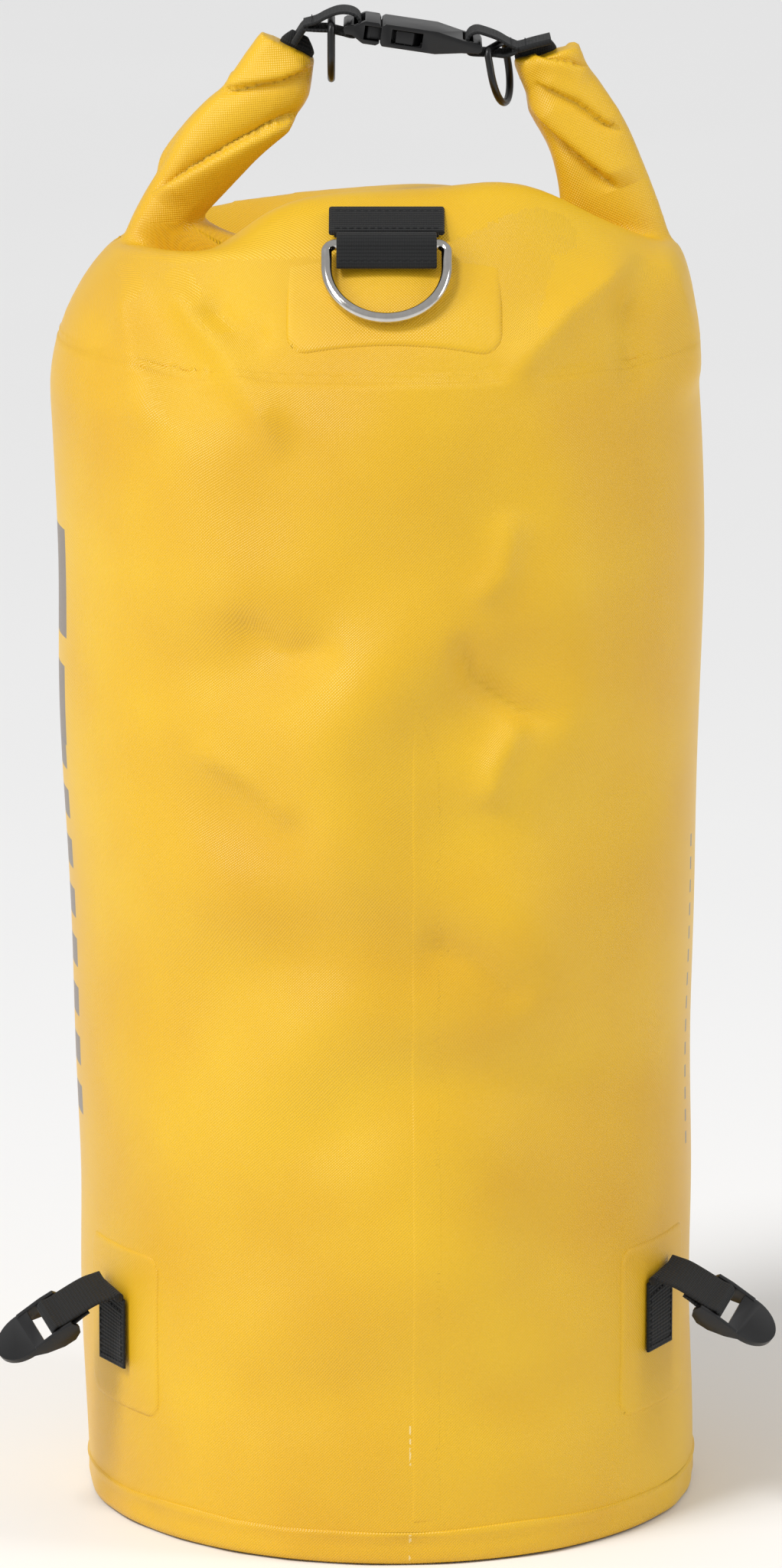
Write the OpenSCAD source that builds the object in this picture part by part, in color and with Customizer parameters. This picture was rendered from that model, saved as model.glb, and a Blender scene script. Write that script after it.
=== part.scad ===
// Roll-top dry bag, closed: welded coated-fabric tube with a round base, the mouth rolled
// and its two ends buckled together as a handle. Millimetres, Z up, front towards -Y.

/* [Bag] */
// Radius of the base over its weld hem
body_r = 145; // [115:1:180]
// Height from the floor to the top of the straight part of the wall
body_h = 500; // [400:5:620]
// Thickness of the coated fabric
wall_t = 0.95; // [0.6:0.05:1.5]
// Height of the weld hem around the base
hem_h = 15; // [10:1:25]
// Thickness of the hem over the turned-down base panel
hem_t = 2.6; // [1.6:0.1:4]
// Width of the vertical lap weld
seam_w = 20; // [10:1:35]

/* [Roll] */
// Height of the roll from edge to edge
roll_w = 36; // [28:1:46]
// Height of the roll at its two tips
roll_tip_w = 31; // [26:1:40]
// Thickness of the roll, front to back
roll_t = 25; // [18:1:32]
// Length of each standing roll end along the buckle's normal
arm_rise = 76.5; // [64:0.5:95]
// Distance between the two strap roots at the roll's tips
tip_gap = 119.3; // [114:0.1:135]
// Tilt of the closed buckle, left end higher
buckle_tilt = 8.5; // [0:0.5:15]

/* [Webbing and buckle] */
// Width of the closure webbing
web_w = 25; // [20:1:30]
// Thickness of the webbing
web_t = 1.4; // [1:0.1:2]
// Width of the buckle over its side walls
buckle_w = 35; // [31:0.5:42]
// Thickness of the buckle
buckle_t = 10.5; // [9:0.5:13]
// Length of the buckle's socket half
socket_l = 47.5; // [44:0.5:56]
// Outside height of the hanging accessory rings
ring_h = 30; // [24:1:38]
// Wire thickness of the hanging accessory rings
ring_d = 3.2; // [2.6:0.1:4]

/* [D-ring] */
// Wire diameter of the D-ring
d_wire = 5; // [4:0.25:6]
// Inside width of the D-ring
d_inner = 50; // [40:1:60]
// Straight leg of the D-ring below its bar
d_leg = 12; // [10:1:20]

/* [Side anchors] */
// Width of the anchor webbing
strap_w = 25; // [20:1:30]
// Length of the free anchor strap, fold to lock bar
strap_l = 30; // [26:1:45]
// Length of the sewn anchor strip
strip_h = 32; // [26:1:45]
// Length of the ladder lock
lock_l = 39; // [34:1:50]
// Side room between the anchor webbing and each rail of its ladder lock
lock_room = 1.1; // [0.8:0.1:3]
// Angle of each anchor from the front towards the side
anchor_angle = 61; // [45:1:75]

/* [Hidden] */
fine = 48;
medium = 24;
yellow = [0.93, 0.74, 0.13];
black = [0.05, 0.055, 0.06];
chrome = [0.8, 0.8, 0.82];
gap = 0.3;
skin = 0.05;
kr = body_r / 145;
kz = body_h / 500;
lift = body_h - 500;

// Wall stations: side height, left half width, right half width, front height, half depth
body_rows = [
  [15, 145, 145, 15, 145],
  [48, 146.3, 144.6, 48, 145.5],
  [105, 148.5, 142.6, 105, 146],
  [165, 148, 143.6, 165, 146],
  [237, 150, 143.3, 237, 146],
  [312, 153, 144.2, 312, 147],
  [386, 155.6, 146.5, 386, 147],
  [450, 156.5, 147.2, 446, 147]
];
shoulder_rows = [
  [506, 158, 146.4, 494, 146],
  [540, 158.6, 144.6, 524, 142],
  [562, 154, 143, 548, 136.5],
  [578, 147, 141, 568, 129],
  [589, 140, 138.5, 584, 119],
  [596, 134, 136, 598, 107],
  [600, 130, 133, 610, 94.5],
  [601.5, 127.5, 130.5, 619.5, 81.5],
  [602, 125.5, 128.5, 626.5, 68],
  [601.5, 123.5, 126.5, 630, 55],
  [600, 121.5, 124.5, 628, 43],
  [597, 119.5, 122.5, 619, 32],
  [594, 117.5, 120.5, 604, 23],
  [591, 115.5, 118.5, 592, 17],
  [588, 113.5, 116.5, 584, 13]
];
body_top = 450;
hem_z = hem_h;
function body_z(z) = z <= 15 ? hem_z : hem_z + (z - 15) * (body_top * kz - hem_z) / (body_top - 15);
rows = concat(
  [for (s = body_rows) [body_z(s[0]), s[1] * kr, s[2] * kr, body_z(s[3]), s[4] * kr]],
  [for (s = shoulder_rows) [s[0] + lift, s[1] * kr, s[2] * kr, s[3] + lift, s[4] * kr]]
);
row_n = len(rows);
around = 72;

// Shoulder pivots, strap roots at the tips, and the curve of the roll between them
tilt_n = [sin(buckle_tilt), cos(buckle_tilt)];
tilt_u = [cos(buckle_tilt), -sin(buckle_tilt)];
mid_x = 3.25;
shoulder_half = 103.25 * kr;
shoulder_z = 619.2 + lift;
shoulder_drop = 5.8;
left_pivot = [mid_x - shoulder_half, shoulder_z + shoulder_drop];
right_pivot = [mid_x + shoulder_half, shoulder_z - shoulder_drop];
arm_lean = (2 * shoulder_half - tip_gap) / (2 * cos(buckle_tilt));
left_tip = left_pivot + arm_rise * tilt_n + arm_lean * tilt_u;
right_tip = right_pivot + arm_rise * tilt_n - arm_lean * tilt_u;
roll_low = 603 + lift;
roll_ratio = pow((right_pivot[1] - roll_low) / (left_pivot[1] - roll_low), 1 / 3);
roll_x = (right_pivot[0] + roll_ratio * left_pivot[0]) / (1 + roll_ratio);
roll_k = (left_pivot[1] - roll_low) / pow(roll_x - left_pivot[0], 3);
function roll_z(x) = roll_low + roll_k * pow(abs(x - roll_x), 3);
function roll_slope(x) = 3 * roll_k * pow(x - roll_x, 2) * sign(x - roll_x);
roll_r = roll_w / 2;
function valley_z(x) = roll_z(x) - (roll_r + gap) * sqrt(1 + pow(roll_slope(x), 2));

// Outer wall point at angle a from +X on station k
function wall_x(k, a) = (cos(a) < 0 ? rows[k][1] : rows[k][2]) * cos(a);
function clip_x(x) = min(max(x, left_pivot[0]), right_pivot[0]);
function top_mix(k) = max(0, (k - row_n + 4) / 3);
function wall_z(k, a) =
  let (z0 = rows[k][0] + (rows[k][3] - rows[k][0]) * pow(sin(a), 2))
  let (zv = valley_z(clip_x(wall_x(k, a))))
  let (over = (k - row_n + 1) * -2.2)
  top_mix(k) > 0 ? z0 + (zv + over - z0) * top_mix(k) : z0;
function wall_pt(k, a) = [wall_x(k, a), rows[k][4] * sin(a), wall_z(k, a)];
function unit(v) = v / norm(v);
function wall_n(k, a) =
  let (ka = max(0, k - 1))
  let (kb = min(row_n - 1, k + 1))
  unit(cross(wall_pt(k, a + 2.5) - wall_pt(k, a - 2.5), wall_pt(kb, a) - wall_pt(ka, a)));
function step_a(i) = 360 * i / around;
function wall_in(k, a) =
  k == 0 ? wall_pt(k, a) - wall_t * [cos(a), sin(a), 0] : wall_pt(k, a) - wall_t * wall_n(k, a);

// Straight body wall at height z, any angle
function body_k(z, k = 0) = (k >= len(body_rows) - 2 || rows[k + 1][0] > z) ? k : body_k(z, k + 1);
function body_f(z, k) = (z - rows[k][0]) / (rows[k + 1][0] - rows[k][0]);
function body_mix(z, c) = let (k = body_k(z)) rows[k][c] + (rows[k + 1][c] - rows[k][c]) * body_f(z, k);
function body_pt(z, a, out = 0) =
  let (ax = body_mix(z, cos(a) < 0 ? 1 : 2))
  let (ay = body_mix(z, 4))
  let (n = unit([cos(a) / ax, sin(a) / ay]))
  [ax * cos(a) + out * n[0], ay * sin(a) + out * n[1], z];

// Points of a grid of nu by nv, closed skins between an inner and an outer sheet
module sheet_solid(inner, outer, nu, nv) {
  m = nu * nv;
  pts = concat([for (r = outer) each r], [for (r = inner) each r]);
  function id(i, j) = j * nu + i;
  front = [for (j = [0:nv - 2]) for (i = [0:nu - 2]) each [
    [id(i, j), id(i, j + 1), id(i + 1, j + 1)], [id(i, j), id(i + 1, j + 1), id(i + 1, j)]]];
  back = [for (f = front) [f[2] + m, f[1] + m, f[0] + m]];
  low = [for (i = [0:nu - 2]) each [
    [id(i, 0), id(i + 1, 0), id(i + 1, 0) + m], [id(i, 0), id(i + 1, 0) + m, id(i, 0) + m]]];
  high = [for (i = [0:nu - 2]) each [
    [id(i + 1, nv - 1), id(i, nv - 1), id(i, nv - 1) + m],
    [id(i + 1, nv - 1), id(i, nv - 1) + m, id(i + 1, nv - 1) + m]]];
  left = [for (j = [0:nv - 2]) each [
    [id(0, j + 1), id(0, j), id(0, j) + m], [id(0, j + 1), id(0, j) + m, id(0, j + 1) + m]]];
  right = [for (j = [0:nv - 2]) each [
    [id(nu - 1, j), id(nu - 1, j + 1), id(nu - 1, j + 1) + m],
    [id(nu - 1, j), id(nu - 1, j + 1) + m, id(nu - 1, j) + m]]];
  polyhedron(points = pts, faces = concat(front, back, low, high, left, right), convexity = 6);
}

// FACETED: hollow fabric wall whose free curves no exact surface follows
module bag_wall() {
  outer = [for (k = [0:row_n - 1]) for (i = [0:around - 1]) wall_pt(k, step_a(i))];
  inner = [for (k = [0:row_n - 1]) for (i = [0:around - 1]) wall_in(k, step_a(i))];
  m = around * row_n;
  function id(i, k) = k * around + i % around;
  skin_f = [for (k = [0:row_n - 2]) for (i = [0:around - 1]) each [
    [id(i, k), id(i, k + 1), id(i + 1, k + 1)], [id(i, k), id(i + 1, k + 1), id(i + 1, k)]]];
  cap_f = [for (i = [0:around / 2 - 1]) let (a = id(i, row_n - 1)) let (b = id(i + 1, row_n - 1))
    let (c = id(around - i - 1, row_n - 1)) let (d = id(around - i, row_n - 1)) each [
    if (a != d) [a, d, c], if (b != c) [a, c, b]]];
  out_f = concat(skin_f, cap_f);
  in_f = [for (f = out_f) [f[2] + m, f[1] + m, f[0] + m]];
  rim = [for (i = [0:around - 1]) each [
    [id(i, 0), id(i + 1, 0), id(i + 1, 0) + m], [id(i, 0), id(i + 1, 0) + m, id(i, 0) + m]]];
  color(yellow)
    polyhedron(points = concat(outer, inner), faces = concat(out_f, in_f, rim), convexity = 10);
}

flat_r = body_r - 35;
floor_t = 1.2;
dish = 12.5;
flange_r = body_r - hem_t;
module base_panel() {
  color(yellow)
    rotate_extrude($fn = around)
      polygon([
        [0, 0], [flat_r, 0], [flat_r + 14, 2.6], [flange_r - 6, dish - 1.5], [flange_r - 1.2, dish - 0.5],
        [flange_r - 1.2, 0.4], [flange_r, 0.4], [flange_r, hem_h - 0.2],
        [flange_r - 4, hem_h - 0.4], [flange_r - 8, dish], [flat_r + 13, 3.9], [flat_r - 0.5, floor_t],
        [0, floor_t]]);
}

module base_hem() {
  color(yellow)
    difference() {
      cylinder(r = body_r, h = hem_h, $fn = around);
      translate([0, 0, -1]) cylinder(r = flange_r, h = hem_h + 2, $fn = around);
    }
}

// FACETED: a thin skin that follows the free wall
// A welded patch laid over the straight wall between two angles and two heights
patch_t = 0.8;
patch_n = 12;
patch_rows = 8;
module body_patch(a0, a1, z0, z1, out0, t) {
  function pa(i) = a0 + (a1 - a0) * i / patch_n;
  function pz(j) = z0 + (z1 - z0) * j / patch_rows;
  inner = [for (j = [0:patch_rows]) [for (i = [0:patch_n]) body_pt(pz(j), pa(i), out0)]];
  outer = [for (j = [0:patch_rows]) [for (i = [0:patch_n]) body_pt(pz(j), pa(i), out0 + t)]];
  sheet_solid(inner, outer, patch_n + 1, patch_rows + 1);
}

seam_angle = asin(9 / 145);
seam_from = 1;
seam_to = len(body_rows) + 2;
module side_seam() {
  a0 = -90 + seam_angle;
  da = seam_w / body_r * 180 / PI / 4;
  low = [for (i = [0:4]) body_pt(hem_h + 1, a0 + da * i, skin)];
  low_out = [for (i = [0:4]) body_pt(hem_h + 1, a0 + da * i, skin + patch_t / 2)];
  inner = [for (k = [seam_from:seam_to]) [for (i = [0:4])
    wall_pt(k, a0 + da * i) + skin * wall_n(k, a0 + da * i)]];
  outer = [for (k = [seam_from:seam_to]) [for (i = [0:4])
    wall_pt(k, a0 + da * i) + (skin + patch_t / 2) * wall_n(k, a0 + da * i)]];
  color(yellow)
    sheet_solid(concat([low], inner), concat([low_out], outer), 5, seam_to - seam_from + 2);
}

patch_half = 13 / kr;
patch_low = 56;
left_patch_top = 135;
right_patch_top = 139;
module left_patch() {
  mid = -90 - anchor_angle;
  color(yellow)
    body_patch(mid - patch_half, mid + patch_half, patch_low, left_patch_top, skin, patch_t);
}

module right_patch() {
  mid = -90 + anchor_angle;
  color(yellow)
    body_patch(mid - patch_half, mid + patch_half, patch_low, right_patch_top, skin, patch_t);
}

// FACETED: a thin skin that follows the free wall
// Front patch over the shoulder, on wall stations, under the D-ring
dpatch_half = 21;
dpatch_n = 14;
dpatch_from = len(body_rows) + 3;
dpatch_to = len(body_rows) + 8;
module d_ring_patch() {
  function pa(i) = -90 - dpatch_half + 2 * dpatch_half * i / dpatch_n;
  inner = [for (k = [dpatch_from:dpatch_to]) [for (i = [0:dpatch_n])
    wall_pt(k, pa(i)) + 0.25 * wall_n(k, pa(i))]];
  outer = [for (k = [dpatch_from:dpatch_to]) [for (i = [0:dpatch_n])
    wall_pt(k, pa(i)) + (0.25 + patch_t) * wall_n(k, pa(i))]];
  color(yellow)
    sheet_solid(inner, outer, dpatch_n + 1, dpatch_to - dpatch_from + 1);
}

// Ribbon outline of thickness t along a plane path
function left_of(p, q) = let (d = unit(q - p)) [-d[1], d[0]];
function path_n(p, i) =
  let (a = max(0, i - 1)) let (b = min(len(p) - 1, i + 1))
  let (n0 = left_of(p[a], p[i == 0 ? 1 : i])) let (n1 = left_of(p[i == len(p) - 1 ? i - 1 : i], p[b]))
  let (n = unit(n0 + n1)) n / max(0.5, n * n0);
function ribbon(p, t) = concat(
  [for (i = [0:len(p) - 1]) p[i] + t / 2 * path_n(p, i)],
  [for (i = [len(p) - 1:-1:0]) p[i] - t / 2 * path_n(p, i)]);
function arc(c, r, a0, a1, n) = [for (i = [0:n]) let (a = a0 + (a1 - a0) * i / n) c + r * [cos(a), sin(a)]];

// D-ring bar on the front shoulder; frame (y, z) in the plane x = d_x
d_x = -2;
d_station = len(body_rows) + 6;
d_foot = wall_pt(d_station, -90);
d_slope = atan2(wall_pt(d_station + 1, -90)[2] - d_foot[2], wall_pt(d_station + 1, -90)[1] - d_foot[1]);
d_wire_r = d_wire / 2;
d_bore = d_wire_r + gap;
d_lift = patch_t + gap + d_bore + web_t + 0.5;
d_bar = [d_foot[1] - d_lift * sin(d_slope), d_foot[2] + d_lift * cos(d_slope)];
d_low = wall_pt(d_station - 3, -90);
d_off = 2.6;
d_hang = atan2(d_foot[1] - d_low[1], d_foot[2] - d_low[2]) + d_off;
d_half = d_inner / 2 + d_wire_r;
d_corner = d_wire_r + 1.6;
pocket_w = 2 * (d_half - d_corner) - 1;
flap_w = 50;
module yz_solid(w) {
  translate([d_x - w / 2, 0, 0]) rotate([90, 0, 90]) linear_extrude(height = w) children();
}

// Pocket of webbing round the D-ring bar, and its sewn flap above
module d_ring_pocket() {
  up = [cos(d_slope), sin(d_slope)];
  out = [-sin(d_slope), cos(d_slope)];
  r = d_bore + web_t / 2;
  ring = arc(d_bar, r, d_slope + 90, d_slope + 262, 20);
  flat_top = d_bar + 10 * up - (r - web_t - 0.2) * out;
  path = concat([flat_top + web_t * out], [d_bar + 6 * up + (r - 2.2) * out], ring,
    [d_bar + 3 * up - (r + 0.02) * out, flat_top]);
  color(black)
    yz_solid(pocket_w) polygon(ribbon(path, web_t));
}

flap_l = 16;
module d_ring_flap() {
  up = [cos(d_slope), sin(d_slope)];
  out = [-sin(d_slope), cos(d_slope)];
  s0 = d_bar + 11 * up - (d_lift - patch_t - 1.95) * out;
  s1 = s0 + 0.4 * flap_l * up;
  s2 = s1 + 0.6 * flap_l * unit([cos(d_slope * 0.79), sin(d_slope * 0.79)]);
  color(black)
    yz_solid(flap_w) polygon(ribbon([s0, s1, s2], 2 * web_t));
}

module d_ring() {
  color(chrome)
    translate([d_x, d_bar[0], d_bar[1]])
      rotate([-d_hang, 0, 0]) {
        c = d_corner;
        w = d_half;
        translate([-w + c, 0, 0]) rotate([0, 90, 0]) cylinder(r = d_wire_r, h = 2 * (w - c), $fn = medium);
        for (s = [-1, 1]) {
          translate([s * (w - c), 0, -c])
            rotate([90, 0, 0]) rotate([0, 0, s > 0 ? 0 : 90])
              rotate_extrude(angle = 90, $fn = fine) translate([c, 0]) circle(r = d_wire_r, $fn = medium);
          translate([s * w, 0, -d_leg]) cylinder(r = d_wire_r, h = d_leg - c, $fn = medium);
        }
        translate([0, 0, -d_leg])
          rotate([90, 0, 0]) rotate([0, 0, 180])
            rotate_extrude(angle = 180, $fn = 2 * fine) translate([w, 0]) circle(r = d_wire_r, $fn = medium);
      }
}

// Swept oval: centre line of [x, z, height, thickness], in the plane y = 0
function flow(p, i) =
  let (a = p[max(0, i - 1)]) let (b = p[min(len(p) - 1, i + 1)])
  unit([b[0] - a[0], b[1] - a[1]]);
module oval_sweep(p, n = 28) {
  function soft(v) = pow(abs(v), 0.8) * sign(v);
  pts = [for (i = [0:len(p) - 1]) let (d = flow(p, i)) let (m = [-d[1], d[0]]) for (j = [0:n - 1])
    let (a = 360 * j / n) let (c = soft(cos(a))) let (s = soft(sin(a)))
    [p[i][0] + m[0] * c * p[i][2] / 2, s * p[i][3] / 2, p[i][1] + m[1] * c * p[i][2] / 2]];
  function id(i, j) = i * n + j % n;
  side = [for (i = [0:len(p) - 2]) for (j = [0:n - 1]) each [
    [id(i, j), id(i, j + 1), id(i + 1, j + 1)], [id(i, j), id(i + 1, j + 1), id(i + 1, j)]]];
  end0 = [[for (j = [n - 1:-1:0]) id(0, j)]];
  end1 = [[for (j = [0:n - 1]) id(len(p) - 1, j)]];
  polyhedron(points = pts, faces = concat(end0, side, end1), convexity = 4);
}

// The roll stops where its upper corner stays clear of the leaning end
roll_room = 0.9;
function corner_out(p, q, e) =
  let (s = sign(roll_x - p[0])) let (x = p[0] + s * e) let (m = unit([-roll_slope(x), 1]))
  let (c = [x, roll_z(x)] + roll_r * m - p) let (d = unit(q - p))
  s * (c[0] * d[1] - c[1] * d[0]);
function roll_end(p, q, e) = corner_out(p, q, e) >= roll_r + roll_room ? e : roll_end(p, q, e + 0.25);
roll_steps = 20;
// FACETED: the rolled mouth sags between the shoulders on a free curve
module roll_middle() {
  x0 = left_pivot[0] + roll_end(left_pivot, left_tip, roll_r + 5);
  x1 = right_pivot[0] - roll_end(right_pivot, right_tip, roll_r + 5);
  line = [for (i = [0:roll_steps]) let (x = x0 + (x1 - x0) * i / roll_steps) [x, roll_z(x), roll_w, roll_t]];
  color(yellow) oval_sweep(line);
}

// Standing roll end: a rounded root on the shoulder pivot, flat at the tip
tip_back = 2.6;
arm_steps = 12;
core_w = roll_tip_w - 5;
core_t = 3;
core_in = 12;
function arm_line(p, q) =
  let (l = norm(q - p) - tip_back) let (d = unit(q - p)) let (r = roll_r) let (dw = roll_tip_w - roll_w)
  concat(
    [for (i = [0:6]) let (a = 86 - 86 * i / 6) let (s = -r * sin(a))
      [p[0] + s * d[0], p[1] + s * d[1], 2 * r * cos(a), roll_t * min(1, cos(a) + 0.25)]],
    [for (i = [1:arm_steps]) let (s = l * i / arm_steps)
      [p[0] + s * d[0], p[1] + s * d[1], roll_w + dw * i / arm_steps, roll_t]]);
module at_tip(p, q) {
  d = unit(q - p);
  translate([q[0], 0, q[1]]) rotate([0, atan2(d[0], d[1]), 0]) children();
}

// FACETED: soft roll end swept between the pivot and the tip
module left_arm_roll() {
  color(yellow)
    difference() {
      oval_sweep(arm_line(left_pivot, left_tip));
      at_tip(left_pivot, left_tip)
        translate([-core_w / 2, -core_t / 2, -tip_back - core_in]) cube([core_w, core_t, core_in + 1]);
    }
}

// Room for the right strap's tail when the ends are spread
tail_slant = 20.5;
tail_from = 2.2;
module tail_room() {
  at_tip(right_pivot, right_tip)
    translate([-tail_from, -roll_t, -tip_back])
      rotate([0, -tail_slant, 0]) translate([-roll_w, 0, 0]) cube([roll_w, 2 * roll_t, roll_t]);
}

// FACETED: soft roll end swept between the pivot and the tip
module right_arm_roll() {
  color(yellow)
    difference() {
      oval_sweep(arm_line(right_pivot, right_tip));
      at_tip(right_pivot, right_tip)
        translate([-core_w / 2, -core_t / 2, -tip_back - core_in]) cube([core_w, core_t, core_in + 1]);
      tail_room();
    }
}

core_out = -0.1;
module left_mouth_band() {
  color(black)
    at_tip(left_pivot, left_tip)
      translate([-core_w / 2, -core_t / 2, -tip_back - core_in]) cube([core_w, core_t, core_in + core_out]);
}

module right_mouth_band() {
  color(black)
    difference() {
      at_tip(right_pivot, right_tip)
        translate([-core_w / 2, -core_t / 2, -tip_back - core_in]) cube([core_w, core_t, core_in + core_out]);
      tail_room();
    }
}

// Buckle frame: u along the buckle from its mouth, w its normal, v = Y
tip_mid = (left_tip + right_tip) / 2;
mouth = tip_mid + [-19.25, 4.75];
function to_u(p) = let (d = p - mouth) [d * tilt_u, d * tilt_n];
left_root = to_u(left_tip);
right_root = to_u(right_tip);
module buckle_frame() {
  translate([mouth[0], 0, mouth[1]]) rotate([0, buckle_tilt, 0]) children();
}
module uw_solid(w) {
  translate([0, w / 2, 0]) rotate([90, 0, 0]) linear_extrude(height = w) children();
}
module rounded(r) {
  offset(r = r) offset(delta = -r) children();
}

side_v = buckle_w / 2;
channel_v = side_v - 1.2;
web_v = web_w / 2;
bar_l = 4.5;
bar_t = 4;
slot_l = 5;
plug_l = 17.5;
plug_end = 0.3;
frame_v = 2.4;
prong_u0 = -5.5;
prong_root = 4;
tab_u0 = 6;
tab_u1 = 18;
catch_gap = 0.15;
prong_in = 5.5;
guide_v = 2;
inner_t = 6;

// FACETED: a plane outline with softened corners
// Plug half: strap bar, slot, shoulder block with two recesses for the prongs, centre guide
module plug_body() {
  color(black)
    buckle_frame()
      difference() {
        union() {
          uw_solid(buckle_w) rounded(1.5)
            polygon([[-plug_l, -bar_t / 2], [-plug_l + bar_l, -bar_t / 2 - 0.2], [-8, -buckle_t / 2],
              [-plug_end, -buckle_t / 2], [-plug_end, buckle_t / 2], [-8, buckle_t / 2],
              [-plug_l + bar_l, bar_t / 2 + 0.2], [-plug_l, bar_t / 2]]);
          translate([-1, -guide_v, -inner_t / 2]) cube([21, 2 * guide_v, inner_t]);
        }
        translate([-plug_l + bar_l, -web_v - 0.6, -buckle_t]) cube([slot_l, web_w + 1.2, 2 * buckle_t]);
        for (s = [-1, 1])
          translate([prong_u0 - prong_root / 2 - gap, s > 0 ? side_v - 8.4 : -side_v - 1, -inner_t / 2 - gap])
            cube([prong_root - prong_u0, 9.4, inner_t + 2 * gap]);
      }
}

prong_v = channel_v - catch_gap;
prong_beam = 2.6;
prong_hinge_v = prong_v - prong_beam / 2 - 1.6;
module prong_shape() {
  translate([0, 0, -inner_t / 2])
    union() {
      translate([prong_u0, prong_hinge_v]) cylinder(d = prong_root, h = inner_t, $fn = fine);
      linear_extrude(height = inner_t)
        polygon([
          [prong_u0 + 0.6, prong_hinge_v + prong_root / 2 - 0.3], [0.6, prong_v - 2.2],
          [tab_u0, prong_v - 1.6],
          [tab_u0 + 1.2, prong_v], [tab_u1 - 3, prong_v], [tab_u1, prong_v - 2.6],
          [tab_u1 + 1, prong_v - 4.6], [tab_u1, prong_v - 5.2], [tab_u0, prong_v - 5],
          [0.6, prong_v - 4.8], [prong_u0 + 0.6, prong_hinge_v - prong_root / 2 + 0.3]]);
    }
}

module front_prong() {
  color(black) buckle_frame() mirror([0, 1, 0]) prong_shape();
}

module rear_prong() {
  color(black) buckle_frame() prong_shape();
}

window_u0 = 5;
window_u1 = 19.5;
cavity_l = 26;
socket_bar = socket_l - bar_l;
// FACETED: a plane outline with softened corners
// Socket half: hollow mouth with side windows, tapering to the strap slot and end bar
module socket_body() {
  cavity_t = inner_t + 2 * gap;
  color(black)
    buckle_frame()
      difference() {
        uw_solid(buckle_w) rounded(1.5)
          polygon([[0, -buckle_t / 2], [cavity_l, -buckle_t / 2], [socket_bar - slot_l, -bar_t / 2 - 1],
            [socket_l, -bar_t / 2], [socket_l, bar_t / 2], [socket_bar - slot_l, bar_t / 2 + 1],
            [cavity_l, buckle_t / 2], [0, buckle_t / 2]]);
        translate([-1, -channel_v, -cavity_t / 2]) cube([cavity_l + 1, 2 * channel_v, cavity_t]);
        for (s = [-1, 1])
          translate([window_u0, s > 0 ? channel_v - 2 : -side_v - 1, -inner_t / 2 - gap])
            cube([window_u1 - window_u0, 4.2, cavity_t]);
        translate([socket_bar - slot_l, -web_v - 0.6, -buckle_t]) cube([slot_l, web_w + 1.2, 2 * buckle_t]);
      }
}

// Closure webbing: a loop round the strap bar, the ring's gap, and a sewn tail to the roll tip
ring_r = ring_d / 2;
left_ring_u = -plug_l - 5.9;
right_ring_u = socket_l + 6.4;
ring_w0 = 0.6;
ring_turn = 14.5;
ring_under = ring_w0 - ring_r - gap - web_t / 2;
bead_r = 2.2;
layer = web_t / 2 + 0.05;
left_join = [left_ring_u - 11.6, -3];
right_join = [right_ring_u + 9.5, 1.2];
module web_link(loop, join, inner, root) {
  color(black)
    buckle_frame()
      union() {
        uw_solid(web_w) polygon(ribbon(loop, web_t));
        uw_solid(web_w) polygon(ribbon([join + inner, join - inner, root], 2 * web_t));
        uw_solid(web_w) translate(root) circle(r = bead_r, $fn = medium);
      }
}

module left_webbing() {
  e = -plug_l;
  loop = [
    left_join + [0, layer], [left_ring_u - 7, 0.3], [left_ring_u - 3, 3.2], [left_ring_u + 1.4, 5.8],
    [e - 0.5, 6.9], [e + 3.5, 6.7], [e + 6.2, 5.2], [e + 7.3, 2.6], [e + 7.3, -0.6], [e + 6.1, -3.2],
    [e + 4, -3.6], [e, -3.2], [left_ring_u + 2.4, ring_under - 0.5], [left_ring_u, ring_under - 0.2],
    [left_ring_u - 5.6, -3.1], left_join - [0, layer]];
  web_link(loop, left_join, [1.5, 0.3], left_root);
}

module right_webbing() {
  e = socket_l;
  loop = [
    right_join + [0, layer], [right_ring_u + 5.5, 3.2], [right_ring_u, 5.3], [e, 6.6], [e - 3.6, 6.8],
    [e - 6.2, 5.2], [e - 7.3, 2.6], [e - 7.3, -0.6], [e - 6.1, -3.2], [e - 4, -3.6], [e, -3.2],
    [right_ring_u - 3, ring_under - 0.6], [right_ring_u, ring_under - 0.2], [right_ring_u + 5, -2],
    right_join - [0, layer]];
  web_link(loop, right_join, [-1.5, 0], right_root);
}

// Accessory ring in the plane u = 0, hinged on its top bar, which lies along v
ring_v = web_v + 1.2 + ring_r;
ring_bar_r = ring_r + 0.1;
ring_low = ring_h - ring_d;
module bow_half(c, r) {
  intersection() {
    translate([c, 0]) circle(r = r, $fn = 2 * fine);
    translate([c - 0.01, -r - 1]) square([r + 1.01, 2 * r + 2]);
  }
}
module hang_ring(half) {
  leg = ring_low - half;
  rotate([90, 0, 0]) cylinder(r = ring_bar_r, h = 2 * half + ring_d + 0.4, center = true, $fn = fine);
  rotate([0, 90, 0])
    linear_extrude(height = ring_d, center = true)
      difference() {
        union() {
          translate([0, -half - ring_r]) square([leg, 2 * half + ring_d]);
          bow_half(leg, half + ring_r);
        }
        translate([-1, -half + ring_r]) square([leg + 1, 2 * half - ring_d]);
        bow_half(leg, half - ring_r);
      }
}

function from_u(p) = mouth + p[0] * tilt_u + p[1] * tilt_n;
left_ring_c = from_u([left_ring_u, ring_w0]);
right_ring_c = from_u([right_ring_u, ring_w0]);
ring_lean = 10;
module left_ring() {
  color(black) translate([left_ring_c[0], 0, left_ring_c[1]]) hang_ring(ring_v);
}

module right_ring() {
  half = ring_v / cos(ring_turn) + 0.8;
  color(black)
    translate([right_ring_c[0], 0, right_ring_c[1]])
      rotate([0, 0, -ring_turn]) rotate([0, -ring_lean, 0]) hang_ring(half);
}

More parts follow.
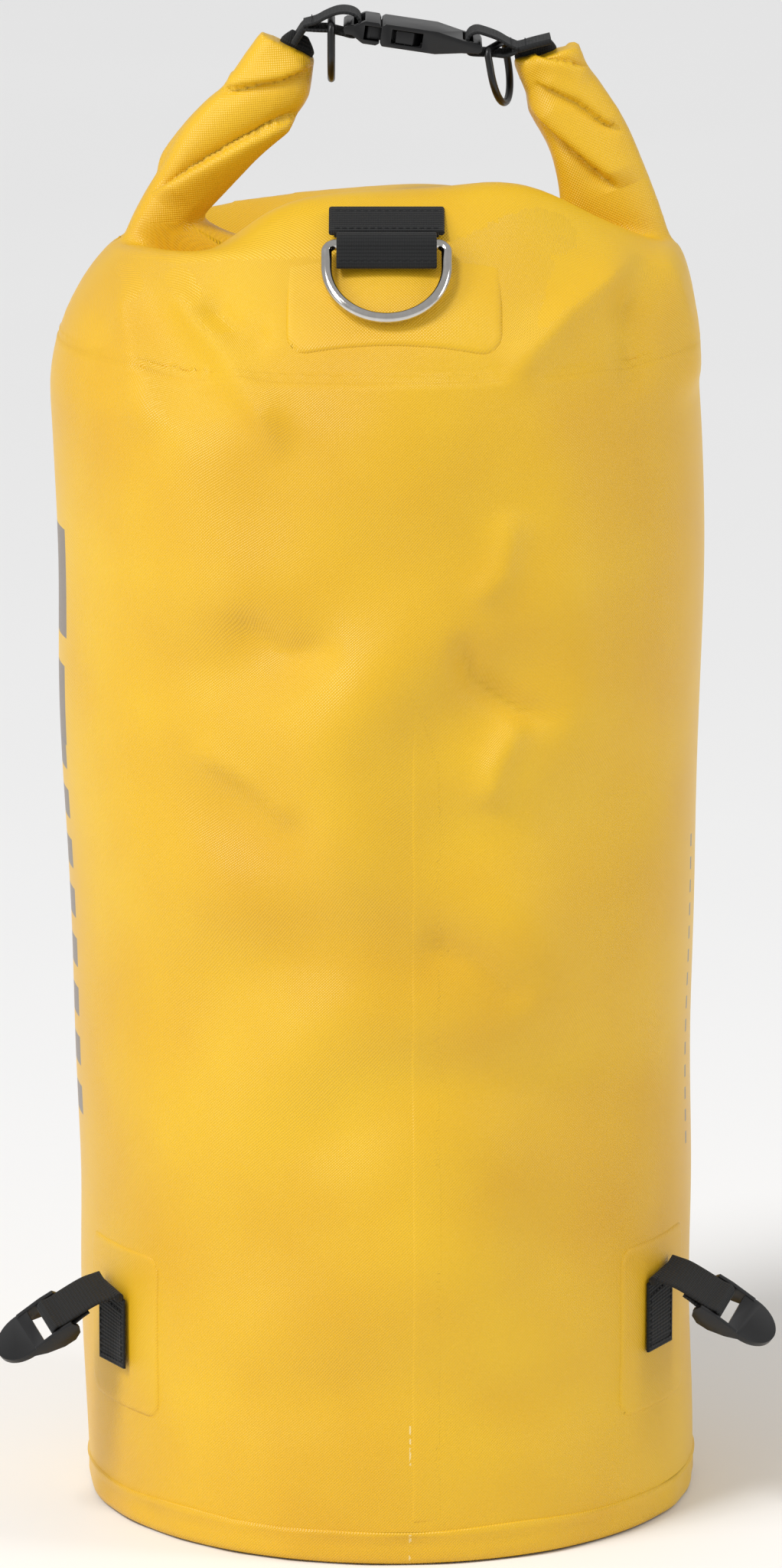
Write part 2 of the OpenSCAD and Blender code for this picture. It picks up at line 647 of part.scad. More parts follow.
// Side anchors. Frame on the wall: h along the fold, q up the strip, n outwards
fold_tilt = 10;
fold_open = 120;
strip_out = skin + patch_t + 0.3;
left_fold_z = 114;
right_fold_z = 122;
fold_r = 2.2;
fold_out = strip_out + 3.2;
module on_wall(side, z, out) {
  a = -90 + side * anchor_angle;
  p = body_pt(z, a, out);
  n = unit([cos(a) / body_mix(z, side < 0 ? 1 : 2), sin(a) / body_mix(z, 4)]);
  turn = atan2(n[1], n[0]) + 90;
  translate(p) rotate([0, 0, turn]) children();
}

module anchor_strip(side, z) {
  color(black)
    on_wall(side, z, strip_out)
      translate([0, 0, -strip_h - 4])
        difference() {
          translate([-strap_w / 2, -web_t, 0]) cube([strap_w, web_t, strip_h]);
          translate([0, -web_t - 1, strip_h])
            rotate([0, -side * fold_tilt, 0])
              translate([-strap_w, 0, -1.2]) cube([2 * strap_w, 4 * web_t, 10]);
        }
}

module left_strip() {
  anchor_strip(-1, left_fold_z);
}

module right_strip() {
  anchor_strip(1, right_fold_z);
}

// Fold frame: X along the fold, Y away along the strap, Z the strap's outer normal
module fold_frame(side, z) {
  on_wall(side, z, fold_out)
    mirror([side < 0 ? 1 : 0, 0, 0])
      rotate([0, -fold_tilt, 0]) rotate([fold_open, 0, 0]) rotate([90, 0, 0]) rotate([0, 180, 0])
        children();
}

lock_dip = 8;
strap_bow = 3;
module strap_solid() {
  l = strap_l;
  top = [[fold_r * 0.4, 0.4], [l * 0.3, strap_bow], [l * 0.65, strap_bow * 0.9],
    [l - 2.2, 1.2 + web_t * 0.5]];
  loop = arc([l, 0], lock_bar_r + 0.25 + web_t / 2, 118, -122, 12);
  back = [[l - 4.5, -0.6], [l * 0.55, strap_bow * 0.9 - web_t]];
  rotate([90, 0, 90])
    translate([0, 0, -strap_w / 2])
      linear_extrude(height = strap_w) polygon(ribbon(concat(top, loop, back), web_t));
}

module flap(side, z) {
  color(black)
    fold_frame(side, z) union() {
      rotate([0, 90, 0]) cylinder(r = fold_r, h = strap_w, center = true, $fn = medium);
      rotate([0, 0, fold_tilt]) strap_solid();
    }
}

module left_flap() {
  flap(-1, left_fold_z);
}

module right_flap() {
  flap(1, right_fold_z);
}

// Ladder lock: rails either side, strap bar, free slot, second bar and thumb tab
lock_bar_r = 2;
lock_back = 9;
rail_t = 2.4;
lock_w = strap_w + 2 * (lock_room + rail_t);
rail_drop = 6.5;
lock_slot = 3.4;
lock_pitch = 8.2;
bar2_l = 5;
tab_t = 2.4;
module lock_solid() {
  front = lock_l - lock_back;
  tab_r = lock_w / 2;
  inner = lock_w / 2 - rail_t;
  for (s = [-1, 1])
    translate([s > 0 ? inner : -inner - rail_t, 0, 0])
      rotate([90, 0, 90])
        linear_extrude(height = rail_t)
          polygon([[-lock_back, -1.5], [-lock_back + 2, 2], [0, 2.6], [lock_pitch + bar2_l, 2.4],
            [lock_pitch + bar2_l + 3, -0.2], [lock_pitch + 2, -3.4], [2, -rail_drop + 0.4], [-4, -rail_drop],
            [-lock_back + 1.2, -4.6]]);
  rotate([0, 90, 0]) cylinder(r = lock_bar_r, h = lock_w - 2, center = true, $fn = medium);
  translate([-inner - 0.5, lock_pitch, -0.4]) cube([2 * inner + 1, bar2_l, tab_t]);
  translate([0, lock_pitch + bar2_l - 0.1, -0.4])
    intersection() {
      translate([0, front - lock_pitch - bar2_l - tab_r * 0.95, 0])
        scale([1, 0.95, 1]) cylinder(r = tab_r, h = tab_t, $fn = 2 * fine);
      translate([-tab_r, 0, -1]) cube([2 * tab_r, front, tab_t + 2]);
    }
}

module lock(side, z) {
  color(black)
    fold_frame(side, z)
      rotate([0, 0, fold_tilt]) translate([0, strap_l, 0]) rotate([-lock_dip, 0, 0]) lock_solid();
}

module left_lock() {
  lock(-1, left_fold_z);
}

module right_lock() {
  lock(1, right_fold_z);
}

bag_wall();
base_panel();
base_hem();
side_seam();
left_patch();
right_patch();
d_ring_patch();
d_ring_pocket();
d_ring_flap();
d_ring();
roll_middle();
left_arm_roll();
right_arm_roll();
left_mouth_band();
right_mouth_band();
plug_body();
front_prong();
rear_prong();
socket_body();
left_webbing();
right_webbing();
left_ring();
right_ring();
left_strip();
right_strip();
left_flap();
right_flap();
left_lock();
right_lock();
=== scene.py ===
# %% [markdown]
# # A roll-top dry bag, modelled around its working frame
# The bag is a welded tube of coated fabric. Its mouth is rolled down and the two ends of the roll
# are bent up and buckled together, so they make a carrying handle. The frame gives every rigid and
# moving part its true place; this file adds the cloth, the webbing and the finishes, in metres.

# %% Load the frame
import math

import bmesh
import bpy
import numpy as np
from mathutils import Matrix, Vector
from mathutils.bvhtree import BVHTree


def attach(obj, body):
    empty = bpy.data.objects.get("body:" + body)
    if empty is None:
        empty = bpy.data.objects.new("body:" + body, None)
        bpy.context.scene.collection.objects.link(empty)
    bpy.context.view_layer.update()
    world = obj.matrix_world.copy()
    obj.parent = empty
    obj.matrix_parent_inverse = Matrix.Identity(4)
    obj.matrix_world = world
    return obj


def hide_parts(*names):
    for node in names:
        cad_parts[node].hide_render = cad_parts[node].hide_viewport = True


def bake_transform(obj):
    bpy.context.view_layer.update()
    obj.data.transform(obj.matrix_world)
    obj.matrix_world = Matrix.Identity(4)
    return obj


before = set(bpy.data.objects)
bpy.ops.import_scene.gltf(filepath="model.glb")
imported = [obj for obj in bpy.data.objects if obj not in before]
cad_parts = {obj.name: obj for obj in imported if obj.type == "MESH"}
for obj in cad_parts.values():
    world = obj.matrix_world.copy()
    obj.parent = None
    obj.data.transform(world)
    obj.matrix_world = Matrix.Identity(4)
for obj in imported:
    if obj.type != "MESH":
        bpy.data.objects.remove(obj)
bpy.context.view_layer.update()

# %% [markdown]
# ## Camera
# A long lens far away keeps the sides of the tube almost parallel. It looks down by about thirteen
# degrees, so the curve of the base and the top of the buckle can be seen.

# %% Camera
camera_data = bpy.data.cameras.new("camera")
camera_data.lens = 210.94
camera_data.sensor_width = 36
camera = bpy.data.objects.new("camera", camera_data)
camera.location = (0, -4.24, 1.296)
camera.rotation_euler = (math.radians(77.3), 0, 0)
bpy.context.scene.collection.objects.link(camera)
bpy.context.scene.camera = camera
bpy.context.scene.view_settings.view_transform = "Standard"
print("camera distance", round(camera.location.length, 2), "m")

# %% [markdown]
# ## Helpers for meshes
# Lengths are written in millimetres, as a maker would write them, and turned to metres only when
# a mesh is made. A grid of points becomes a skin; a closed outline swept along a path becomes a
# strap or a wire.

# %% Mesh helpers
MM = 0.001


def mesh_object(name, points, faces, uv=None):
    """A smooth mesh from points in millimetres; uv is one pair of millimetres per point."""
    data = bpy.data.meshes.new(name)
    data.from_pydata((np.asarray(points, float) * MM).tolist(), [], [list(f) for f in faces])
    if uv is not None:
        layer = data.uv_layers.new(name="cloth")
        index = np.empty(len(data.loops), dtype=np.int64)
        data.loops.foreach_get("vertex_index", index)
        layer.data.foreach_set("uv", np.asarray(uv, float)[index].astype(np.float32).ravel())
    data.shade_smooth()
    made = bpy.data.objects.new(name, data)
    bpy.context.scene.collection.objects.link(made)
    return made


def grid_faces(rows, columns, wrap=False):
    """Quads between rows of points; wrap closes each row on itself."""
    faces = []
    for low in range(0, (rows - 1) * columns, columns):
        high = low + columns
        for i in range(columns if wrap else columns - 1):
            k = (i + 1) % columns
            faces.append((low + i, low + k, high + k, high + i))
    return faces


def end_faces(rows, columns):
    """One many-sided face over the first row of points and one over the last."""
    last = (rows - 1) * columns
    return [tuple(range(columns))[::-1], tuple(range(last, last + columns))]


def outward(made):
    """Turns every face of a closed mesh to look outwards."""
    shell = bmesh.new()
    shell.from_mesh(made.data)
    bmesh.ops.remove_doubles(shell, verts=shell.verts, dist=1e-6)
    bmesh.ops.recalc_face_normals(shell, faces=shell.faces)
    shell.to_mesh(made.data)
    shell.free()
    return made


def sweep(name, path, side, outline, closed=False):
    """Carries an outline of (across, thick) pairs along a path. side is the across direction. Both
    may be given once or once per point. The cloth map holds length along and place across."""
    path = np.asarray(path, float)
    count = len(path)
    side = np.broadcast_to(np.asarray(side, float), (count, 3))
    if closed:
        along = np.roll(path, -1, 0) - np.roll(path, 1, 0)
    else:
        along = np.gradient(path, axis=0)
    along /= np.linalg.norm(along, axis=1)[:, None]
    up = np.cross(side, along)
    up /= np.linalg.norm(up, axis=1)[:, None]
    outline = np.asarray(outline, float)
    if outline.ndim == 2:
        outline = np.broadcast_to(outline, (count,) + outline.shape)
    points = path[:, None] + outline[..., :1] * side[:, None] + outline[..., 1:] * up[:, None]
    n = outline.shape[1]
    step = np.linalg.norm(np.diff(path, axis=0), axis=1)
    length = np.concatenate([[0], np.cumsum(step)])
    uv = np.stack([np.repeat(length, n), outline[..., 0].ravel()], 1)
    faces = grid_faces(count, n, wrap=True)
    if closed:
        last = (count - 1) * n
        faces += [(last + i, last + (i + 1) % n, (i + 1) % n, i) for i in range(n)]
    else:
        faces += end_faces(count, n)
    return outward(mesh_object(name, points.reshape(-1, 3), faces, uv))


def strap_outline(width, thick, columns=14):
    """A woven strap's section: two flat faces of so many points, and round selvedges."""
    half, r = width / 2, thick / 2
    across = np.linspace(-half + r, half - r, columns)
    turn = np.radians(np.linspace(-60, 60, 5))
    right = [(half - r + r * math.cos(t), r * math.sin(t)) for t in turn]
    left = [(-half + r - r * math.cos(t), -r * math.sin(t)) for t in turn]
    return [(x, -r) for x in across] + right + [(x, r) for x in across[::-1]] + left


def round_outline(radius, count):
    """A circle, as the section of a rod or a rolled bead."""
    turn = np.linspace(0, 2 * math.pi, count, endpoint=False)
    return [(radius * math.cos(t), radius * math.sin(t)) for t in turn]


def curve_through(points, count):
    """Points evenly spaced along a smooth Catmull-Rom curve through the given ones."""
    p = np.asarray(points, float)
    p = np.vstack([2 * p[0] - p[1], p, 2 * p[-1] - p[-2]])
    t = np.linspace(0, len(p) - 3 - 1e-9, max(count * 4, 40))
    k = t.astype(int)
    f = (t - k)[:, None]
    a, b, c, d = p[k], p[k + 1], p[k + 2], p[k + 3]
    square, cube = 2 * a - 5 * b + 4 * c - d, 3 * b - a - 3 * c + d
    fine = 0.5 * (2 * b + (c - a) * f + square * f**2 + cube * f**3)
    length = np.concatenate([[0], np.cumsum(np.linalg.norm(np.diff(fine, axis=0), axis=1))])
    even = np.linspace(0, length[-1], count)
    return np.stack([np.interp(even, length, fine[:, i]) for i in range(p.shape[1])], 1)


def apply_modifier(made, kind, **settings):
    """Runs one modifier and keeps its result as the plain mesh."""
    modifier = made.modifiers.new(kind.lower(), kind)
    for name, value in settings.items():
        setattr(modifier, name, value)
    evaluated = made.evaluated_get(bpy.context.evaluated_depsgraph_get())
    result = bpy.data.meshes.new_from_object(evaluated)
    made.modifiers.clear()
    old, made.data = made.data, result
    result.name = made.name
    bpy.data.meshes.remove(old)
    return made


print("helpers ready")

# %% [markdown]
# ## Helpers for materials
# Colours are given as sRGB hex, the way a paint chart gives them, and one function turns them to
# the linear values that the shader works in. One small function adds a node.

# %% Material helpers


def linear(hex_colour):
    """An sRGB hex colour as linear red, green, blue and a full alpha."""
    parts = [int(hex_colour[i:i + 2], 16) / 255 for i in (1, 3, 5)]
    return tuple(c / 12.92 if c <= 0.04045 else ((c + 0.055) / 1.055) ** 2.4 for c in parts) + (1,)


def add(tree, kind, settings=None, links=None):
    """Adds a node. settings holds attributes, and input values by name or number. links feeds
    inputs, each from a socket or from the first output of a node."""
    made = tree.nodes.new(kind)
    for key, value in (settings or {}).items():
        if isinstance(key, str) and hasattr(made, key):
            setattr(made, key, value)
        else:
            made.inputs[key].default_value = value
    for key, source in (links or {}).items():
        socket = source if isinstance(source, bpy.types.NodeSocket) else source.outputs[0]
        tree.links.new(socket, made.inputs[key])
    return made


def new_material(name):
    """An empty material and its node tree."""
    made = bpy.data.materials.new(name)
    made.use_nodes = True
    made.node_tree.nodes.clear()
    return made, made.node_tree


print("material helpers ready")

# %% [markdown]
# ## Coated fabric
# The body is PVC-coated polyester tarpaulin, calendered, so it is smooth but the scrim of woven
# yarns shows through as a fine grid of soft dimples. The eye reads it from the broken, grainy edges
# of the highlights. The grid is drawn at the spacing of a light scrim, about one and a half
# millimetres. It follows the cloth through the piece's own map, whose unit is a millimetre. The
# printed side bands are plain ink bars set in that map.

# %% Tarpaulin material
SCRIM = 1.45  # yarn spacing in millimetres
DEEP_YELLOW, BRIGHT_YELLOW = "#dca60c", "#e9ba14"
YARN_YELLOW = "#f3cf62"  # thin coating over the yarns
RUBBED_YELLOW = "#f6e7b4"  # chalky rub marks
INK = "#77706f"
INK_COVER = 0.93
TARPAULIN_ROUGHNESS = 0.27
# Rub marks along the edge of the lap seam: left, right, low and high in the cloth map.
RUB_BOXES = [(8.6, 9.4, 49, 70), (8.4, 9.6, 2, 15)]


def box_mask(tree, u, v, box):
    """1 inside a box (left, right, low, high) of the cloth map, 0 outside."""
    u0, u1, v0, v1 = box
    inside_u = add(tree, "ShaderNodeMath",
                   {"operation": "COMPARE", 1: (u0 + u1) / 2, 2: (u1 - u0) / 2}, {0: u})
    inside_v = add(tree, "ShaderNodeMath",
                   {"operation": "COMPARE", 1: (v0 + v1) / 2, 2: (v1 - v0) / 2}, {0: v})
    return add(tree, "ShaderNodeMath", {"operation": "MULTIPLY"}, {0: inside_u, 1: inside_v})


def wave(tree, distance, spacing):
    """A sine that repeats once in each spacing, both in millimetres."""
    phase = add(tree, "ShaderNodeMath", {"operation": "MULTIPLY", 1: 2 * math.pi / spacing}, {0: distance})
    return add(tree, "ShaderNodeMath", {"operation": "SINE"}, {0: phase})


def tarpaulin(name, printed=()):
    """The coated cloth, with ink in the printed boxes."""
    made, tree = new_material(name)
    place = add(tree, "ShaderNodeTexCoord").outputs["Object"]
    cloth = add(tree, "ShaderNodeUVMap", {"uv_map": "cloth"})
    split = add(tree, "ShaderNodeSeparateXYZ", {}, {0: cloth})
    u, v = split.outputs[0], split.outputs[1]
    broad = add(tree, "ShaderNodeTexNoise", {"Scale": 9.0, "Detail": 3.0, "Roughness": 0.5},
                {"Vector": place})
    fine = add(tree, "ShaderNodeTexNoise", {"Scale": 420.0, "Detail": 3.0, "Roughness": 0.6},
               {"Vector": place})
    tone = add(tree, "ShaderNodeValToRGB", {}, {"Fac": broad})
    deep, bright = tone.color_ramp.elements
    deep.position = 0.3
    deep.color = linear(DEEP_YELLOW)
    bright.position = 0.72
    bright.color = linear(BRIGHT_YELLOW)

    # Where the yarns stand up the coating is thin and a little paler, and fine grain varies it.
    grid = add(tree, "ShaderNodeMath", {"operation": "MULTIPLY"},
               {0: wave(tree, u, SCRIM), 1: wave(tree, v, SCRIM)})
    raised = add(tree, "ShaderNodeMath", {"operation": "ADD", 1: 1.0}, {0: grid})
    stand = add(tree, "ShaderNodeMath", {"operation": "MULTIPLY", 1: 0.5}, {0: raised})
    grain = add(tree, "ShaderNodeMath", {"operation": "MULTIPLY", 1: 0.08}, {0: fine})
    thin = add(tree, "ShaderNodeMath", {"operation": "MULTIPLY", 1: 0.10}, {0: stand})
    tint = add(tree, "ShaderNodeMath", {"operation": "ADD"}, {0: thin, 1: grain})
    colour = add(tree, "ShaderNodeMix", {"data_type": "RGBA", 7: linear(YARN_YELLOW)},
                 {0: tint, 6: tone}).outputs[2]
    for box in printed:
        cover = add(tree, "ShaderNodeMath", {"operation": "MULTIPLY", 1: INK_COVER},
                    {0: box_mask(tree, u, v, box)})
        colour = add(tree, "ShaderNodeMix", {"data_type": "RGBA", 7: linear(INK)},
                     {0: cover, 6: colour}).outputs[2]

    # Inside the rub boxes only the high points of the fine grain turn chalky.
    low_box, high_box = (box_mask(tree, u, v, box) for box in RUB_BOXES)
    zone = add(tree, "ShaderNodeMath", {"operation": "ADD"}, {0: low_box, 1: high_box})
    specks = add(tree, "ShaderNodeMath", {"operation": "GREATER_THAN", 1: 0.5}, {0: fine})
    rubbed = add(tree, "ShaderNodeMath", {"operation": "MULTIPLY"}, {0: zone, 1: specks})
    chalk = add(tree, "ShaderNodeMath", {"operation": "MULTIPLY", 1: 0.55}, {0: rubbed})
    colour = add(tree, "ShaderNodeMix", {"data_type": "RGBA", 7: linear(RUBBED_YELLOW)},
                 {0: chalk, 6: colour}).outputs[2]

    uneven = add(tree, "ShaderNodeMath", {"operation": "MULTIPLY", 1: 0.10}, {0: broad})
    rough = add(tree, "ShaderNodeMath", {"operation": "ADD", 1: TARPAULIN_ROUGHNESS}, {0: uneven})
    yarns = add(tree, "ShaderNodeMath", {"operation": "MULTIPLY", 1: 0.5}, {0: grid})
    pores = add(tree, "ShaderNodeMath", {"operation": "MULTIPLY", 1: 0.35}, {0: fine})
    height = add(tree, "ShaderNodeMath", {"operation": "ADD"}, {0: yarns, 1: pores})
    bump = add(tree, "ShaderNodeBump", {"Strength": 0.9, "Distance": 0.00022}, {"Height": height})
    shader = add(tree, "ShaderNodeBsdfPrincipled",
                 {"IOR": 1.5, "Specular IOR Level": 0.42},
                 {"Base Color": colour, "Roughness": rough, "Normal": bump})
    add(tree, "ShaderNodeOutputMaterial", {}, {"Surface": shader})
    return made


# Bars stand on the left of the bag, and a row of small dashes on the right, in cloth millimetres.
left_bars = [(-228, -196, 418, 470), (-224, -200, 366, 404)]
left_bars += [(-222, -202, z, z + 14) for z in range(186, 356, 24)]
right_dashes = [(196, 199, z, z + 6) for z in range(176, 320, 11)]
yellow_tarpaulin = tarpaulin("yellow_pvc_tarpaulin", left_bars + right_dashes)
plain_tarpaulin = tarpaulin("yellow_pvc_tarpaulin_plain")
print("tarpaulin with", len(left_bars) + len(right_dashes), "printed bars")

# %% [markdown]
# ## Webbing, thread, plastic and metal
# Closure and anchor straps are black polyester webbing: ribs of warp yarn run across the strap at
# about 1.7 mm, with a finer weft between them, and the fibres scatter light like velvet at glancing
# angles. Hardware is moulded acetal with a fine mould texture. The D-ring is bent steel wire,
# nickel plated, so it mirrors the studio with tiny polishing marks.

# %% Hard and woven materials
RIB = 1.7  # rib spacing of the webbing in millimetres
WEFT = 1.1  # weft spacing in millimetres


def webbing(name, base, light):
    """Woven polyester between a base colour and the light colour of its raised fibres."""
    made, tree = new_material(name)
    cloth = add(tree, "ShaderNodeUVMap", {"uv_map": "cloth"})
    split = add(tree, "ShaderNodeSeparateXYZ", {}, {0: cloth})
    place = add(tree, "ShaderNodeTexCoord").outputs["Object"]
    fuzz = add(tree, "ShaderNodeTexNoise", {"Scale": 900.0, "Detail": 2.0}, {"Vector": place})
    rib = wave(tree, split.outputs[0], RIB)
    weft = add(tree, "ShaderNodeMath", {"operation": "MULTIPLY", 1: 0.45},
               {0: wave(tree, split.outputs[1], WEFT)})
    woven = add(tree, "ShaderNodeMath", {"operation": "ADD"}, {0: rib, 1: weft})
    height = add(tree, "ShaderNodeMath", {"operation": "ADD"}, {0: woven, 1: fuzz})
    lit = add(tree, "ShaderNodeMath", {"operation": "ADD"}, {0: rib, 1: fuzz})
    tone = add(tree, "ShaderNodeMath", {"operation": "MULTIPLY", 1: 0.3}, {0: lit})
    colour = add(tree, "ShaderNodeMix", {"data_type": "RGBA", 6: linear(base), 7: linear(light)}, {0: tone})
    bump = add(tree, "ShaderNodeBump", {"Strength": 0.7, "Distance": 0.0002}, {"Height": height})
    shader = add(tree, "ShaderNodeBsdfPrincipled",
                 {"Roughness": 0.82, "Sheen Weight": 0.05, "Sheen Roughness": 0.5, "IOR": 1.5},
                 {"Base Color": colour.outputs[2], "Normal": bump})
    add(tree, "ShaderNodeOutputMaterial", {}, {"Surface": shader})
    return made


def moulded(name, base, light, roughness):
    """Moulded plastic: fine mould grain, and flow marks that vary its tone and gloss."""
    made, tree = new_material(name)
    place = add(tree, "ShaderNodeTexCoord").outputs["Object"]
    grain = add(tree, "ShaderNodeTexNoise", {"Scale": 1500.0, "Detail": 2.0}, {"Vector": place})
    flow = add(tree, "ShaderNodeTexNoise", {"Scale": 60.0, "Detail": 3.0}, {"Vector": place})
    colour = add(tree, "ShaderNodeMix", {"data_type": "RGBA", 6: linear(base), 7: linear(light)}, {0: flow})
    uneven = add(tree, "ShaderNodeMath", {"operation": "MULTIPLY", 1: 0.16}, {0: flow})
    rough = add(tree, "ShaderNodeMath", {"operation": "ADD", 1: roughness - 0.08}, {0: uneven})
    bump = add(tree, "ShaderNodeBump", {"Strength": 0.25, "Distance": 0.00005}, {"Height": grain})
    shader = add(tree, "ShaderNodeBsdfPrincipled", {"IOR": 1.48},
                 {"Base Color": colour.outputs[2], "Roughness": rough, "Normal": bump})
    add(tree, "ShaderNodeOutputMaterial", {}, {"Surface": shader})
    return made


def plated(name):
    """Nickel plate: bright, with polishing marks that vary its gloss."""
    made, tree = new_material(name)
    place = add(tree, "ShaderNodeTexCoord").outputs["Object"]
    marks = add(tree, "ShaderNodeTexNoise", {"Scale": 260.0, "Detail": 4.0}, {"Vector": place})
    uneven = add(tree, "ShaderNodeMath", {"operation": "MULTIPLY", 1: 0.12}, {0: marks})
    rough = add(tree, "ShaderNodeMath", {"operation": "ADD", 1: 0.05}, {0: uneven})
    colour = add(tree, "ShaderNodeMix",
                 {"data_type": "RGBA", 6: linear("#b9b6b1"), 7: linear("#d9d6d2")}, {0: marks})
    shader = add(tree, "ShaderNodeBsdfPrincipled", {"Metallic": 1.0},
                 {"Base Color": colour.outputs[2], "Roughness": rough})
    add(tree, "ShaderNodeOutputMaterial", {}, {"Surface": shader})
    return made


black_webbing = webbing("black_polyester_webbing", "#030405", "#0d0f11")
black_thread = webbing("bonded_polyester_thread", "#0b0c0e", "#202326")
black_acetal = moulded("black_moulded_acetal", "#060607", "#0f0f11", 0.34)
nickel_plate = plated("nickel_plated_steel")
print("materials:", len(bpy.data.materials))

# %% [markdown]
# ## The rule of the body's surface
# The tube is described by stations. Each gives the height at the side seams and at the front, the
# half widths and the half depth; between stations the numbers run on a smooth curve. Near the top
# the front and back lean in towards the roll, and the crest of each forms the front and back bulge.

# %% Stations of the wall
# side height, left half width, right half width, front height, half depth
stations = np.array([
    [15, 145, 145, 15, 145], [48, 146.3, 144.6, 48, 145.5], [105, 148.5, 142.6, 105, 146],
    [165, 148, 143.6, 165, 146], [237, 150, 143.3, 237, 146], [312, 153, 144.2, 312, 147],
    [386, 155.6, 146.5, 386, 147], [450, 156.5, 147.2, 446, 147], [506, 158, 146.4, 494, 146],
    [540, 158.6, 144.6, 524, 142], [562, 154, 143, 548, 136.5], [578, 147, 141, 568, 129],
    [589, 140, 138.5, 584, 119], [596, 134, 136, 598, 107], [600, 130, 133, 611, 94.5],
    [601.5, 127.5, 130.5, 621.5, 81.5], [602, 125.5, 128.5, 629.5, 68], [601.5, 123.5, 126.5, 633, 55],
    [599, 121.5, 124.5, 629, 43], [594, 119.5, 122.5, 617, 32], [588, 117.5, 120.5, 600, 23],
    [582, 115.5, 118.5, 586, 17], [578, 113.5, 116.5, 576, 13]], float)


# How the two crests rise (+) or dip (-) along the roll: height, place across and half width.
FRONT_CREST = [(9.0, 60, 34), (-15.0, -86, 26)]
BACK_CREST = [(-12.0, -60, 45), (4.0, 20, 40)]
BACK_DROP = -19.0  # the back crest lies this much lower than the front one
BACK_EASE = 14  # the drop comes in over this distance behind the middle


def swell(x, bumps, start=0.0):
    """A start height with soft bumps added."""
    return sum((height * np.exp(-((x - at) / wide) ** 2) for height, at, wide in bumps), start)


def crest_lift(x, y, top):
    """Right of the middle the crest stands higher, and it dips towards the left shoulder."""
    back = swell(x, BACK_CREST, BACK_DROP) * np.clip(y / BACK_EASE, 0, 1)
    return np.where(y < 0, swell(x, FRONT_CREST), back) * top


def wall_point(row, a):
    """Points of one station at the angles a; top is 1 near the crest and fades above and below it."""
    side, left, right, front, depth = row
    ca, sa = np.cos(a), np.sin(a)
    x = np.where(ca < 0, left, right) * ca
    y = depth * sa
    z = side + (front - side) * sa**2
    top = np.clip((94 - depth) / 30, 0, 1) * np.clip((depth - 15) / 18, 0, 1)
    return np.stack([x, y, z + crest_lift(x, y, top)], 1)


print("stations:", len(stations))

# %% [markdown]
# ## One skin from body, roll and ends
# Real tarpaulin runs from the body into the rolled ends without a break. Lofting alone can't turn
# that corner, so the shoulders, the sagging roll and the two standing ends are made as closed forms,
# melted together with a voxel remesh and relaxed. The straight wall below stays a clean loft and is
# bridged to the melted top.

# %% Closed forms for the top
SPLIT_Z = 560  # the loft is bridged to the remeshed top at this height


def loft_solid(name, rings):
    """A closed skin over a row of rings."""
    n = len(rings[0])
    faces = grid_faces(len(rings), n, wrap=True) + end_faces(len(rings), n)
    return outward(mesh_object(name, np.concatenate(rings), faces))


turns = np.linspace(0, 2 * math.pi, 180, endpoint=False)
upper_rows = [row for row in curve_through(stations, 150) if row[0] > 470 or row[4] < 100]
shoulder_form = loft_solid("shoulder_form", [wall_point(row, turns) for row in upper_rows])

roll_line = curve_through([[-108, 605], [-96, 600], [-80, 590], [-55, 585], [-15, 584], [30, 587],
                           [70, 592], [98, 600], [114, 607]], 60)


def oval_ring(outer, inner, thick, count=40, soft=0.8):
    """An oval between an outer and an inner point of the front outline, thick front to back."""
    mid, half = (outer + inner) / 2, (outer - inner) / 2
    t = np.linspace(0, 2 * math.pi, count, endpoint=False)
    c = np.sign(np.cos(t)) * np.abs(np.cos(t)) ** soft
    s = np.sign(np.sin(t)) * np.abs(np.sin(t)) ** soft
    return np.stack([mid[0] + half[0] * c, thick / 2 * s, mid[1] + half[1] * c], 1)


def sweep_ovals(name, pairs, count):
    """pairs: outer x, outer z, inner x, inner z, thickness."""
    rows = curve_through(pairs, count)
    return loft_solid(name, [oval_ring(row[0:2], row[2:4], row[4]) for row in rows])


ROLL_HALF, ROLL_THICK = 16, 24  # half height and thickness of the sagging roll
roll_pairs = [[x, z + ROLL_HALF, x, z - ROLL_HALF, ROLL_THICK] for x, z in roll_line[::5]]
roll_form = sweep_ovals("roll_form", roll_pairs, 60)

# The standing ends, from root to tip: outer point, inner point and thickness.
left_pairs = np.array([
    [-127, 598, -100, 584, 20], [-121, 612, -96, 600, 24], [-115, 623.3, -92, 607.4, 26],
    [-107, 636.7, -82.8, 617.4, 27], [-97.6, 653.7, -69.6, 631.5, 27], [-85.8, 667, -56, 647, 26],
    [-77.8, 673.5, -46, 657, 25], [-70.5, 685, -38.5, 667.5, 24], [-64, 694, -36.6, 677, 23],
    [-60.5, 699, -35.6, 686.5, 22]], float)
right_pairs = np.array([
    [134, 592, 86, 580, 24], [130, 604, 83, 592, 26], [124.2, 621, 80, 606, 28],
    [116.7, 640, 78, 626, 28], [109.1, 657, 73.8, 643.5, 28], [97.8, 674.8, 66, 661, 27],
    [91.4, 683.2, 61.5, 673, 26], [88.8, 690, 58, 681, 25], [87.6, 693.6, 56.2, 686.3, 24]], float)
left_form = sweep_ovals("left_form", left_pairs, 60)
right_form = sweep_ovals("right_form", right_pairs, 60)
print("closed forms made")

# %% [markdown]
# A voxel remesh turns overlapping closed forms into one skin. Its cells, 2.4 mm across, are small
# beside a fold, and a light smoothing takes away their steps.

# %% Melt the forms together
VOXEL = 0.0024  # metres


